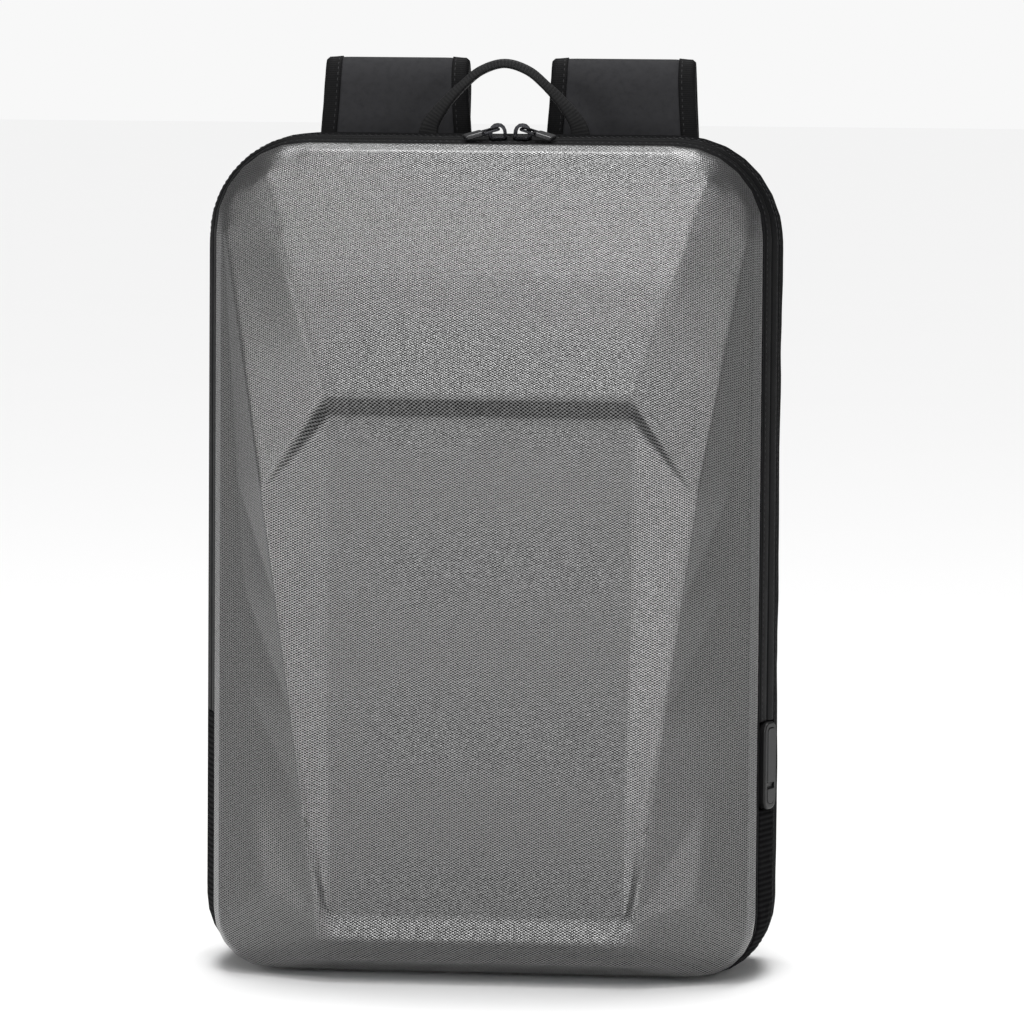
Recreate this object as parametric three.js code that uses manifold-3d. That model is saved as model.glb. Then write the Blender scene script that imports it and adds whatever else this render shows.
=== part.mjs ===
// Hard shell backpack: a faceted, formed front shell on a zipped fabric body, with two
// folded shoulder straps, a top handle, two zip sliders and a port on the right side.
// Millimetres. X is to the right as the shell is seen, Y runs back from the shell, Z is up.
// The origin is on the floor, under the middle of the whole bag.

import * as THREE from 'three';
import { LoftGeometry } from 'three/addons/geometries/LoftGeometry.js';
import { mergeGeometries, mergeVertices } from 'three/addons/utils/BufferGeometryUtils.js';
import Module from 'manifold-3d';

const wasm = await Module();
wasm.setup();

// Front shell
const SHELL_WIDTH = 297;
const SHELL_HEIGHT = 452;
const SHELL_DEPTH = 56;
const SHELL_WALL = 3;
const SHELL_TOP_RADIUS = 48;
const SHELL_BOTTOM_RADIUS = 32;
const SHELL_FLOOR_GAP = 3;
const SHELL_EDGE_DEPTH = 7;
const SHELL_ROLL_DEPTH = 15.5;
const SHELL_ROLL_INSET = 4;
const SHELL_ROLL_BOTTOM_INSET = 1.8;

// Fabric body: how far it stands out past the shell, and how deep it is
const BODY_DEPTH = 88;
const BODY_SIDE_BULGE = 8.6;
const BODY_TOP_BULGE = 5;
const BODY_WALL = 3;
const BACK_PANEL_THICKNESS = 12;
const BACK_PANEL_EDGE_ROUND = 2.2;

// Edge binding, zip and the cloth hinge that closes the band below the zip
const BINDING_DEPTH = 3;
const BINDING_WALL = 3;
const TAPE_WIDTH = 8;
const TAPE_WALL = 1.6;
const ZIP_SLIT = 1.2;
const COIL_WIDTH = 5;
const COIL_WALL = 2;
const ZIP_END_HEIGHT = 142;

// Zip sliders and pulls
const SLIDERS_ACROSS = 9.7;
const SLIDER_SPACING = 13.4;
const SLIDER_LENGTH = 10;
const SLIDER_WIDTH = 8;
const SLIDER_THICKNESS = 1.8;
const SLIDER_CORNER = 2.5;
const CROWN_LENGTH = 8.2;
const CROWN_HEIGHT = 5.6;
const CROWN_BAR = 1.6;
const CROWN_WIDTH = 1.9;
const LINK_LENGTH = 14;
const LINK_WIDTH = 7;
const LINK_EYE_WIDTH = 4.4;
const LINK_EYE_LENGTH = 6.2;
const LINK_BAR = 1.3;
const TAB_LENGTH = 10.5;
const TAB_WIDTH = 7.4;
const TAB_THICKNESS = 2.6;
const TAB_OVERLAP = 4.5;
const TAB_CORNER = 1.6;
const TAB_TONGUE_WIDTH = 4.4;
const SLIDER_TURN = 9;
const PULL_TURN = 11;
const PULL_DROOP = 12;

// Side port
const PORT_HEIGHT = 48;
const PORT_SIDE_GAP = 0.8;
const PORT_THICKNESS = 4.6;
const PORT_PROUD = 2.3;
const PORT_CORNER = 6;
const PORT_EDGE_ROUND = 1;
const PORT_FRAME = 3;
const PORT_COVER_RECESS = 1.6;
const PORT_COVER_NICK = 4;
const PORT_NICK_DROP = 13;

// Top handle
const HANDLE_SPAN = 85;
const HANDLE_RISE = 40;
const HANDLE_BACK = 78;
const HANDLE_FOOT_WIDTH = 11;
const HANDLE_FOOT_THICKNESS = 3;
const HANDLE_GRIP_HEIGHT = 5.2;
const HANDLE_GRIP_DEPTH = 10;
const HANDLE_SIDES = 8;

// Shoulder straps
const STRAP_WIDTH = 79;
const STRAP_THICKNESS = 9;
const STRAP_FOLD_THICKNESS = 8;
const STRAP_INNER_EDGE = 24;
const STRAP_SPLAY = 22;
const STRAP_TOP_HEIGHT = 501;
const STRAP_END_HEIGHT = 118;
const STRAP_STAND_OFF = 44;
const STRAP_FOLD_SHARE = 0.93;
const STRAP_EDGE_SHARE = 0.45;
const STRAP_CROWN_SHARE = 0.9;
const STRAP_FOOT_GAP = 3;
const WEBBING_WIDTH = 25;
const WEBBING_THICKNESS = 1.6;
const ADJUSTER_WIDTH = 34;
const ADJUSTER_HEIGHT = 28;
const ADJUSTER_THICKNESS = 4;
const ADJUSTER_BAR = 4;
const ADJUSTER_ROUND = 3;
const ANCHOR_WIDTH = 34;
const ANCHOR_HEIGHT = 40;
const ANCHOR_THICKNESS = 3;
const ANCHOR_BASE_HEIGHT = 16;
const ANCHOR_EDGE_INSET = 36.5;

// Clearance between pieces that meet, and how finely round stretches are cut
const GAP = 0.3;
const CORNER_STEPS = 7;
const STRAP_STEPS = 26;
const HANDLE_STEPS = 22;
const WEBBING_STEPS = 8;
const CROWN_STEPS = 10;
const ROUND_STEPS = 3;
const SMALL_ROUND_STEPS = 2;
const MERGE_DISTANCE = 0.001;
const SLOT_MOUTH = 1;

// Places worked out from the sizes above
const BACK_FACE = BODY_DEPTH + GAP + BACK_PANEL_THICKNESS;
const WHOLE_DEPTH = SHELL_DEPTH + BACK_FACE + STRAP_STAND_OFF;
const RIM_Y = SHELL_DEPTH - WHOLE_DEPTH / 2;
const BINDING_BACK = GAP + BINDING_DEPTH;
const FRONT_TAPE = BINDING_BACK + GAP;
const SLIT = FRONT_TAPE + TAPE_WIDTH + ZIP_SLIT / 2;
const BACK_TAPE = SLIT + ZIP_SLIT / 2;
const GUSSET_FRONT = BACK_TAPE + TAPE_WIDTH + GAP;
const PORT_WIDTH = GUSSET_FRONT - FRONT_TAPE - GAP - 2 * PORT_SIDE_GAP;
const SHELL_TOP = SHELL_FLOOR_GAP + SHELL_HEIGHT;

// How far the body stands out at each depth, as shares of its bulges
const BODY_PROFILE = [
  { back: 0, side: 0, top: 0, bottom: 0 },
  { back: 0.04, side: 0.14, top: 0.14, bottom: 0.25 },
  { back: 0.14, side: 0.52, top: 0.48, bottom: 0.65 },
  { back: 0.24, side: 0.9, top: 0.8, bottom: 1 },
  { back: 0.44, side: 1, top: 1, bottom: 1 },
  { back: 0.72, side: 0.8, top: 0.8, bottom: 1 },
  { back: 1, side: 0.3, top: 0.4, bottom: 1 },
];

// Corners of the shell's right half: across as a share of half its width, up as a share of
// its height, out as a share of its depth
const SHELL_CORNERS = [
  { name: 'brow', across: 0.8215, up: 0.9602, out: 0.402 },
  { name: 'brow ridge', across: 0.862, up: 0.9513, out: 0.366 },
  { name: 'brow flank', across: 0.8923, up: 0.9425, out: 0.33 },
  { name: 'temple', across: 0.7946, up: 0.9336, out: 0.491 },
  { name: 'temple ridge', across: 0.8956, up: 0.9204, out: 0.375 },
  { name: 'temple flank', across: 0.9327, up: 0.9137, out: 0.321 },
  { name: 'ridge top', across: 0.9562, up: 0.896, out: 0.327 },
  { name: 'flank top', across: 0.9657, up: 0.8938, out: 0.296 },
  { name: 'cheek', across: 0.703, up: 0.8451, out: 0.741 },
  { name: 'ledge lip', across: 0.5556, up: 0.7013, out: 1 },
  { name: 'ledge foot', across: 0.5556, up: 0.677, out: 0.732 },
  { name: 'knee', across: 0.7912, up: 0.5863, out: 0.893 },
  { name: 'valley foot', across: 0.542, up: 0.075, out: 0.79 },
  { name: 'ridge foot', across: 0.571, up: 0.0752, out: 0.886 },
  { name: 'flank foot', across: 0.798, up: 0.1018, out: 0.616 },
  { name: 'chin', across: 0.561, up: 0.0509, out: 0.884 },
  { name: 'chin flank', across: 0.7407, up: 0.073, out: 0.643 },
  { name: 'throat', across: 0.559, up: 0.0221, out: 0.714 },
  { name: 'throat ridge', across: 0.6465, up: 0.021, out: 0.625 },
  { name: 'jaw', across: 0.7239, up: 0.0348, out: 0.58 },
  { name: 'underside', across: 0.559, up: 0.004, out: 0.277 },
];
const KNEE_SHARE = 0.38;
const LOWER_SHARES = [0.54, 0.7, 0.85];
const CHIN_ROWS = 4;

// Where the facet lines meet the rounded corners, in degrees up from level
const TOP_CORNER_TURNS = [15, 30, 45, 60, 75, 90];
const BOTTOM_CORNER_TURNS = [-17, -35, -52, -71, -90];

// The crown of a slider, as shares of half its length and of its height
const CROWN_LINE = [
  { across: -1, up: -0.1 },
  { across: -0.86, up: 0.6 },
  { across: -0.45, up: 0.97 },
  { across: 0.45, up: 0.97 },
  { across: 0.86, up: 0.6 },
  { across: 1, up: -0.1 },
];

// The arch of the handle, as shares of half its span and of its rise
const HANDLE_ARCH = [
  { across: 1, up: 0, flat: 1 },
  { across: 0.965, up: 0.16, flat: 0.75 },
  { across: 0.76, up: 0.46, flat: 0.25 },
  { across: 0.54, up: 0.7, flat: 0 },
  { across: 0.31, up: 0.9, flat: 0 },
  { across: 0, up: 1, flat: 0 },
];

// The strap's middle line: out as a share of its stand-off from the back panel, up as a share
// of the height from its end to its top, splay and width as shares of their sizes
const STRAP_LINE = [
  { out: 0.12, up: 0.783, splay: 0, width: 1.08 },
  { out: 0.12, up: 0.87, splay: 0, width: 1.07 },
  { out: 0.13, up: 0.94, splay: 0, width: 1.02 },
  { out: 0.17, up: 0.98, splay: 0, width: 1 },
  { out: 0.31, up: 1, splay: 0, width: 1 },
  { out: 0.47, up: 0.98, splay: 0, width: 1 },
  { out: 0.55, up: 0.94, splay: 0.02, width: 1 },
  { out: 0.66, up: 0.82, splay: 0.12, width: 1 },
  { out: 0.84, up: 0.6, splay: 0.35, width: 0.98 },
  { out: 0.9, up: 0.4, splay: 0.6, width: 0.94 },
  { out: 0.82, up: 0.2, splay: 0.85, width: 0.86 },
  { out: 0.66, up: 0.04, splay: 1, width: 0.76 },
  { out: 0.62, up: 0, splay: 1, width: 0.6 },
];

const FINISHES = {
  shell: { color: 0x8b8b8b, roughness: 0.42, metalness: 0.35 },
  fabric: { color: 0x17171a, roughness: 0.85, metalness: 0 },
  tape: { color: 0x1d1d1f, roughness: 0.45, metalness: 0 },
  strap: { color: 0x28282a, roughness: 0.9, metalness: 0 },
  webbing: { color: 0x1b1b1d, roughness: 0.8, metalness: 0 },
  metal: { color: 0x1a1a1c, roughness: 0.3, metalness: 0.9 },
  plastic: { color: 0x161617, roughness: 0.5, metalness: 0 },
};

const radians = THREE.MathUtils.degToRad;
const mix = THREE.MathUtils.lerp;

function mesh(name, geometry, finish) {
  const made = new THREE.Mesh(geometry, new THREE.MeshStandardMaterial(FINISHES[finish]));
  made.name = name;
  return made;
}

function signedVolume(geometry) {
  const at = geometry.getAttribute('position');
  const index = geometry.index.array;
  const [a, b, c] = [new THREE.Vector3(), new THREE.Vector3(), new THREE.Vector3()];
  let volume = 0;
  for (let i = 0; i < index.length; i += 3) {
    a.fromBufferAttribute(at, index[i]);
    b.fromBufferAttribute(at, index[i + 1]);
    c.fromBufferAttribute(at, index[i + 2]);
    volume += a.dot(b.cross(c));
  }
  return volume;
}

// Skins a row of sections, turned so that its faces point out
function loft(sections, capped) {
  const turned = signedVolume(new LoftGeometry(sections)) < 0;
  const facing = turned ? sections.map((section) => [...section].reverse()) : sections;
  return new LoftGeometry(facing, { capStart: capped, capEnd: capped });
}

function solidOf(geometry) {
  const bare = new THREE.BufferGeometry().copy(geometry);
  bare.deleteAttribute('normal');
  bare.deleteAttribute('uv');
  const merged = mergeVertices(bare);
  const vertProperties = merged.getAttribute('position').array;
  const triVerts = new Uint32Array(merged.index.array);
  return new wasm.Manifold(new wasm.Mesh({ numProp: 3, vertProperties, triVerts }));
}

function geometryOf(solid) {
  const { vertProperties, triVerts } = solid.getMesh();
  const geometry = new THREE.BufferGeometry();
  geometry.setAttribute('position', new THREE.BufferAttribute(vertProperties, 3));
  geometry.setIndex(new THREE.BufferAttribute(triVerts, 1));
  geometry.computeVertexNormals();
  return geometry;
}

// Points of a run of straight lines and corner arcs, seen from the front
function outlinePoints(curves, closed) {
  const points = curves.flatMap((curve) => {
    const steps = curve.isLineCurve ? 1 : CORNER_STEPS;
    return curve.getPoints(steps).slice(0, -1);
  });
  return closed ? points : [...points, curves.at(-1).getPoint(1)];
}

const line = (fromX, fromZ, toX, toZ) =>
  new THREE.LineCurve(new THREE.Vector2(fromX, fromZ), new THREE.Vector2(toX, toZ));
const arc = (x, z, radius, turns) =>
  new THREE.EllipseCurve(x, z, radius, radius, (turns * Math.PI) / 2, ((turns + 1) * Math.PI) / 2);

function roundedCurves({ half, bottom, top, topRadius, bottomRadius }) {
  const [across, foot] = [half - topRadius, half - bottomRadius];
  const [shoulder, heel] = [top - topRadius, bottom + bottomRadius];
  return {
    right: line(half, heel, half, shoulder),
    topRight: arc(across, shoulder, topRadius, 0),
    top: line(across, top, -across, top),
    topLeft: arc(-across, shoulder, topRadius, 1),
    left: line(-half, shoulder, -half, heel),
    bottomLeft: arc(-foot, heel, bottomRadius, 2),
    bottom: line(-foot, bottom, foot, bottom),
    bottomRight: arc(foot, heel, bottomRadius, 3),
  };
}

function bulgeAt(back) {
  const share = THREE.MathUtils.clamp(back / BODY_DEPTH, 0, 1);
  const next = Math.max(1, BODY_PROFILE.findIndex((row) => row.back >= share));
  const [low, high] = [BODY_PROFILE[next - 1], BODY_PROFILE[next]];
  const along = (share - low.back) / (high.back - low.back);
  return {
    side: BODY_SIDE_BULGE * mix(low.side, high.side, along),
    top: BODY_TOP_BULGE * mix(low.top, high.top, along),
    bottom: SHELL_FLOOR_GAP * mix(low.bottom, high.bottom, along),
  };
}

// The body's outline at a depth behind the shell's rim, drawn in by an inset
function bodyFrame(back, inset) {
  const bulge = bulgeAt(back);
  return {
    half: SHELL_WIDTH / 2 + bulge.side - inset,
    bottom: SHELL_FLOOR_GAP - bulge.bottom + inset,
    top: SHELL_TOP + bulge.top - inset,
    topRadius: SHELL_TOP_RADIUS + bulge.side - inset,
    bottomRadius: SHELL_BOTTOM_RADIUS + bulge.side - inset,
  };
}

const WHOLE_RING = (frame) => outlinePoints(Object.values(roundedCurves(frame)), true);

// The stretch over the top, from one side to the other, down to a height
function archOver(height) {
  return (frame) => {
    const curves = roundedCurves(frame);
    const shoulder = frame.top - frame.topRadius;
    const right = line(frame.half, height, frame.half, shoulder);
    const left = line(-frame.half, shoulder, -frame.half, height);
    return outlinePoints([right, curves.topRight, curves.top, curves.topLeft, left], false);
  };
}

// The stretch under the bottom, between a height on each side
function cradleUnder(leftHeight, rightHeight) {
  return (frame) => {
    const curves = roundedCurves(frame);
    const heel = frame.bottom + frame.bottomRadius;
    const left = line(-frame.half, leftHeight, -frame.half, heel);
    const right = line(frame.half, heel, frame.half, rightHeight);
    return outlinePoints([left, curves.bottomLeft, curves.bottom, curves.bottomRight, right], false);
  };
}

// A band of the body's skin between two depths, sunk below the skin by a given amount
function band(from, to, wall, stretch, sunk = 0) {
  const middle = BODY_PROFILE.map((row) => row.back * BODY_DEPTH)
    .filter((back) => back > from && back < to);
  const stations = [from, ...middle, to];
  const outer = stations.map((back) => ({ back, points: stretch(bodyFrame(back, sunk)) }));
  const inner = stations.map((back) => ({ back, points: stretch(bodyFrame(back, sunk + wall)) })).reverse();
  const rows = [...outer, ...inner];
  const sections = rows[0].points.map((_, i) =>
    rows.map(({ back, points }) => new THREE.Vector3(points[i].x, RIM_Y + back, points[i].y)),
  );
  const closed = stretch === WHOLE_RING;
  return closed ? loft([...sections, sections[0]], false) : loft(sections, true);
}

// The front shell's right half, as rows of points from its side to its middle, top to bottom
function shellRows() {
  const half = SHELL_WIDTH / 2;
  const corner = new Map(SHELL_CORNERS.map(({ name, across, up, out }) => [
    name,
    new THREE.Vector3(across * half, RIM_Y - out * SHELL_DEPTH, SHELL_FLOOR_GAP + up * SHELL_HEIGHT),
  ]));
  const { half: side, top, bottom, topRadius, bottomRadius } = shellRing(true);
  const cornerArc = (radius, middle) => (degrees) => new THREE.Vector3(
    side - radius + radius * Math.cos(radians(degrees)),
    RIM_Y - SHELL_ROLL_DEPTH,
    middle + radius * Math.sin(radians(degrees)),
  );
  const topArc = cornerArc(topRadius, top - topRadius);
  const bottomArc = cornerArc(bottomRadius, bottom + bottomRadius);
  const at = (name) => corner.get(name).clone();
  const between = (from, to, share) => at(from).lerp(at(to), share);
  const ridge = (share) => (share < KNEE_SHARE
    ? between('ridge top', 'knee', share / KNEE_SHARE)
    : between('knee', 'ridge foot', (share - KNEE_SHARE) / (1 - KNEE_SHARE)));
  const sides = (share) => [
    topArc(0).lerp(bottomArc(0), share),
    between('flank top', 'flank foot', share),
    ridge(share),
  ];
  const lower = LOWER_SHARES.map((share) => {
    const below = (share - KNEE_SHARE) / (1 - KNEE_SHARE);
    return [...sides(share), between('ledge foot', 'valley foot', below)];
  });
  const [temple, brow, ...crown] = TOP_CORNER_TURNS.map(topArc);
  const [chin, jaw, ...base] = BOTTOM_CORNER_TURNS.map(bottomArc);
  const rows = [
    crown,
    [brow, at('brow flank'), at('brow ridge'), at('brow')],
    [temple, at('temple flank'), at('temple ridge'), at('temple')],
    [...sides(0), between('temple', 'cheek', 1 / 2)],
    [...sides(KNEE_SHARE / 5), at('cheek')],
    [...sides(KNEE_SHARE / 2), between('cheek', 'ledge lip', 1 / 2)],
    [...sides(KNEE_SHARE), at('ledge lip')],
    [...sides(KNEE_SHARE), at('ledge foot')],
    ...lower,
    [...sides(1), at('valley foot')],
    [chin, at('chin flank'), at('chin'), at('chin')],
    [jaw, at('jaw'), at('throat ridge'), at('throat')],
    [...base, at('underside')],
  ];
  return rows.map((row) => [...row, new THREE.Vector3(0, row.at(-1).y, row.at(-1).z)]);
}

// The shell's outline at its back edge, or where its rolled edge meets the facets
function shellRing(onRoll) {
  const inset = onRoll ? SHELL_ROLL_INSET : 0;
  const bottomInset = onRoll ? SHELL_ROLL_BOTTOM_INSET : 0;
  return {
    half: SHELL_WIDTH / 2 - inset,
    bottom: SHELL_FLOOR_GAP + bottomInset,
    top: SHELL_TOP - inset,
    topRadius: SHELL_TOP_RADIUS - inset,
    bottomRadius: SHELL_BOTTOM_RADIUS - bottomInset,
  };
}

function mirroredFace(geometry) {
  const copy = new THREE.BufferGeometry().copy(geometry).scale(-1, 1, 1);
  return copy.setIndex([...geometry.index.array].reverse());
}

// The open outer face of the shell: two faceted halves, and a wall from their border to the rim.
// The chin is skinned from the other side, so that its folds run out to the corners
function shellFace() {
  const rows = shellRows();
  const mirrored = rows.map((row) => row.map(({ x, y, z }) => new THREE.Vector3(-x, y, z)).reverse());
  const upper = new LoftGeometry(mirrored.slice(0, 1 - CHIN_ROWS), { closed: false });
  const chin = new LoftGeometry(rows.slice(-CHIN_ROWS), { closed: false });
  const border = [
    ...rows.map((row) => row[0]).reverse(),
    ...rows[0].slice(1),
    ...mirrored[0].slice(1),
    ...mirrored.map((row) => row.at(-1)).slice(1),
    ...mirrored.at(-1).slice(0, -1).reverse(),
    ...rows.at(-1).slice(1, -1).reverse(),
  ];
  const rim = (out) => border.map((point) => {
    const { x, z } = outwards(point, shellRing(true), shellRing(false));
    return new THREE.Vector3(x, RIM_Y - out, z);
  });
  const wall = new LoftGeometry([rim(0), rim(SHELL_EDGE_DEPTH), border]);
  return joined([upper, mirroredFace(upper), chin, mirroredFace(chin), wall]);
}

// Moves a point of one rounded outline straight out to the same place on another
function outwards({ x, z }, from, to) {
  const upper = z > from.top - from.topRadius;
  const lower = z < from.bottom + from.bottomRadius;
  const radius = upper ? from.topRadius : from.bottomRadius;
  const cornerX = from.half - radius;
  const cornerZ = upper ? from.top - radius : from.bottom + radius;
  const flat = !upper && !lower;
  if (flat) return { x: Math.sign(x) * to.half, z };
  if (Math.abs(x) <= cornerX) return { x, z: upper ? to.top : to.bottom };
  const toRadius = upper ? to.topRadius : to.bottomRadius;
  const toX = to.half - toRadius;
  const toZ = upper ? to.top - toRadius : to.bottom + toRadius;
  const angle = Math.atan2(z - cornerZ, Math.abs(x) - cornerX);
  return {
    x: Math.sign(x) * (toX + toRadius * Math.cos(angle)),
    z: toZ + toRadius * Math.sin(angle),
  };
}

// Joins open surfaces along their shared points
function joined(geometries) {
  const bare = geometries.map((geometry) => {
    const copy = new THREE.BufferGeometry().copy(geometry);
    copy.deleteAttribute('normal');
    copy.deleteAttribute('uv');
    return copy;
  });
  return withoutSlivers(mergeVertices(mergeGeometries(bare), MERGE_DISTANCE));
}

function withoutSlivers(geometry) {
  const { array } = geometry.index;
  const kept = [];
  for (let i = 0; i < array.length; i += 3) {
    const [a, b, c] = array.slice(i, i + 3);
    if (a !== b && b !== c && c !== a) kept.push(a, b, c);
  }
  geometry.setIndex(kept);
  return geometry;
}

// Gives an open face a wall, and closes it along its flat back edge
function shellSolid() {
  const face = shellFace();
  face.computeVertexNormals();
  const [at, normal] = [face.getAttribute('position'), face.getAttribute('normal')];
  const outer = [];
  const inner = [];
  for (let i = 0; i < at.count; i += 1) {
    const point = new THREE.Vector3().fromBufferAttribute(at, i);
    const inwards = new THREE.Vector3().fromBufferAttribute(normal, i).multiplyScalar(-SHELL_WALL);
    outer.push(point);
    inner.push(point.clone().add(inwards));
  }
  const count = outer.length;
  const triangles = [...face.index.array];
  const lining = triangles.map((id) => id + count).reverse();
  const middle = SHELL_FLOOR_GAP + SHELL_HEIGHT / 2;
  const onRim = (id) => Math.abs(outer[id].y - RIM_Y) < MERGE_DISTANCE;
  const turn = (id) => Math.atan2(outer[id].z - middle, outer[id].x);
  const rim = [...outer.keys()].filter(onRim).sort((a, b) => turn(a) - turn(b));
  const edge = rim.flatMap((id, i) => {
    const next = rim[(i + 1) % rim.length];
    return [id, id + count, next, next, id + count, next + count];
  });
  inner.forEach((point, id) => {
    if (onRim(id)) point.y = RIM_Y;
  });
  const solid = new THREE.BufferGeometry().setFromPoints([...outer, ...inner]);
  solid.setIndex([...triangles, ...lining, ...edge]);
  solid.computeVertexNormals();
  return solid;
}

// A flat piece drawn in the plane of X and Z, as thick as given towards the back, eased at its edges
function slab(shape, thickness, round, steps) {
  const geometry = new THREE.ExtrudeGeometry(shape, {
    depth: thickness - 2 * round,
    bevelEnabled: true,
    bevelThickness: round,
    bevelSize: round,
    bevelOffset: -round,
    bevelSegments: steps,
    curveSegments: CORNER_STEPS,
  });
  return geometry.rotateX(Math.PI / 2).translate(0, thickness - round, 0);
}

function roundedRectangle(width, height, radius) {
  const [x, z] = [width / 2, height / 2];
  const quarter = Math.PI / 2;
  return new THREE.Shape()
    .moveTo(x, radius - z)
    .lineTo(x, z - radius)
    .absarc(x - radius, z - radius, radius, 0, quarter)
    .lineTo(radius - x, z)
    .absarc(radius - x, z - radius, radius, quarter, 2 * quarter)
    .lineTo(-x, radius - z)
    .absarc(radius - x, radius - z, radius, 2 * quarter, 3 * quarter)
    .lineTo(x - radius, -z)
    .absarc(x - radius, radius - z, radius, 3 * quarter, 4 * quarter);
}

// Back panel
function backPanel() {
  const frame = bodyFrame(BODY_DEPTH, 0);
  const shape = roundedRectangle(2 * frame.half, frame.top - frame.bottom, frame.topRadius);
  const panel = slab(shape, BACK_PANEL_THICKNESS, BACK_PANEL_EDGE_ROUND, ROUND_STEPS);
  return panel.translate(0, RIM_Y + BODY_DEPTH + GAP, (frame.top + frame.bottom) / 2);
}

// A strip swept along a line of stations, each with its own width and thickness
function strip(stations, rounded) {
  const middle = new THREE.CatmullRomCurve3(stations.map((row) => row.at));
  const across = new THREE.Vector3(1, 0, 0);
  const pick = (share, key) => {
    const place = share * (stations.length - 1);
    const low = Math.min(Math.floor(place), stations.length - 2);
    return mix(stations[low][key], stations[low + 1][key], place - low);
  };
  const steps = rounded ? STRAP_STEPS : WEBBING_STEPS;
  const ease = rounded ? STRAP_EDGE_SHARE : 1;
  const sections = Array.from({ length: steps + 1 }, (_, i) => {
    const share = i / steps;
    const at = middle.getPoint(share);
    const up = middle.getTangent(share);
    const out = new THREE.Vector3().crossVectors(across, up).normalize();
    const [half, thick] = [pick(share, 'width') / 2, pick(share, 'thickness') / 2];
    const corners = rounded
      ? [[1, ease], [1, -ease], [STRAP_CROWN_SHARE, -1], [-STRAP_CROWN_SHARE, -1],
        [-1, -ease], [-1, ease], [-STRAP_CROWN_SHARE, 1], [STRAP_CROWN_SHARE, 1]]
      : [[1, 1], [1, -1], [-1, -1], [-1, 1]];
    return corners.map(([a, b]) => at.clone()
      .addScaledVector(across, a * half)
      .addScaledVector(out, b * thick));
  });
  return loft(sections, true);
}

// Shoulder straps
function strapStations(side) {
  const reach = STRAP_TOP_HEIGHT - STRAP_FOLD_THICKNESS / 2 - STRAP_END_HEIGHT;
  return STRAP_LINE.map((row) => {
    const width = STRAP_WIDTH * row.width;
    const middle = STRAP_INNER_EDGE + STRAP_WIDTH / 2 + row.splay * STRAP_SPLAY;
    const back = RIM_Y + BACK_FACE + row.out * STRAP_STAND_OFF;
    return {
      at: new THREE.Vector3(side * middle, back, STRAP_END_HEIGHT + row.up * reach),
      width,
      thickness: row.up > STRAP_FOLD_SHARE ? STRAP_FOLD_THICKNESS : STRAP_THICKNESS,
    };
  });
}

// Where a strap's webbing, adjuster and anchor lie, going down from the strap's end
function strapFoot(side) {
  const end = strapStations(side).at(-1).at;
  const anchor = new THREE.Vector3(
    side * (SHELL_WIDTH / 2 - ANCHOR_EDGE_INSET),
    RIM_Y + BACK_FACE + GAP,
    ANCHOR_BASE_HEIGHT,
  );
  const lift = ANCHOR_THICKNESS + 2 * GAP + WEBBING_THICKNESS / 2;
  const webbing = anchor.clone().add(new THREE.Vector3(0, lift, ANCHOR_HEIGHT / 4));
  const adjuster = end.clone().add(new THREE.Vector3(0, 0, -ADJUSTER_HEIGHT / 2 - STRAP_FOOT_GAP));
  return { end, anchor, webbing, adjuster };
}

function webbingRun(side) {
  const { webbing, adjuster } = strapFoot(side);
  const behind = ADJUSTER_THICKNESS / 2 + GAP + WEBBING_THICKNESS / 2;
  const top = adjuster.clone().add(new THREE.Vector3(0, -behind, ADJUSTER_BAR));
  const bend = adjuster.clone().add(new THREE.Vector3(0, -behind, -ADJUSTER_HEIGHT / 2));
  const seat = webbing.clone().add(new THREE.Vector3(0, 0, ANCHOR_HEIGHT / 2));
  const row = (at) => ({ at, width: WEBBING_WIDTH, thickness: WEBBING_THICKNESS });
  return strip([row(top), row(bend), row(bend.clone().lerp(seat, 1 / 2)), row(seat), row(webbing)], false);
}

function webbingTab(side) {
  const { end, adjuster } = strapFoot(side);
  const before = ADJUSTER_THICKNESS / 2 + GAP + WEBBING_THICKNESS / 2;
  const bottom = adjuster.clone().add(new THREE.Vector3(0, before, 0));
  const top = end.clone().add(new THREE.Vector3(0, before, -GAP - WEBBING_THICKNESS));
  const row = (at) => ({ at, width: WEBBING_WIDTH, thickness: WEBBING_THICKNESS });
  return strip([row(top), row(top.clone().lerp(bottom, 1 / 2)), row(bottom)], false);
}

function adjuster(side) {
  const frame = roundedRectangle(ADJUSTER_WIDTH, ADJUSTER_HEIGHT, ADJUSTER_ROUND);
  const slotHeight = (ADJUSTER_HEIGHT - 3 * ADJUSTER_BAR) / 2;
  const slotRound = WEBBING_THICKNESS / 2;
  [1, -1].forEach((end) => {
    const slot = roundedRectangle(WEBBING_WIDTH + ADJUSTER_BAR / 2, slotHeight, slotRound);
    const middle = (end * (slotHeight + ADJUSTER_BAR)) / 2;
    frame.holes.push(new THREE.Path(slot.getPoints(SMALL_ROUND_STEPS).map(
      (point) => new THREE.Vector2(point.x, point.y + middle),
    )));
  });
  const buckle = slab(frame, ADJUSTER_THICKNESS, ADJUSTER_THICKNESS / 8, 1);
  const { adjuster: at } = strapFoot(side);
  return buckle.translate(at.x, at.y - ADJUSTER_THICKNESS / 2, at.z);
}

function strapAnchor(side) {
  const [half, tip] = [ANCHOR_WIDTH / 2, WEBBING_WIDTH / 2];
  const shape = new THREE.Shape()
    .moveTo(-half, 0)
    .lineTo(half, 0)
    .lineTo(tip, ANCHOR_HEIGHT)
    .lineTo(-tip, ANCHOR_HEIGHT)
    .closePath();
  const { anchor } = strapFoot(side);
  return slab(shape, ANCHOR_THICKNESS, ANCHOR_THICKNESS / 4, 1).translate(anchor.x, anchor.y, anchor.z);
}

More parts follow.
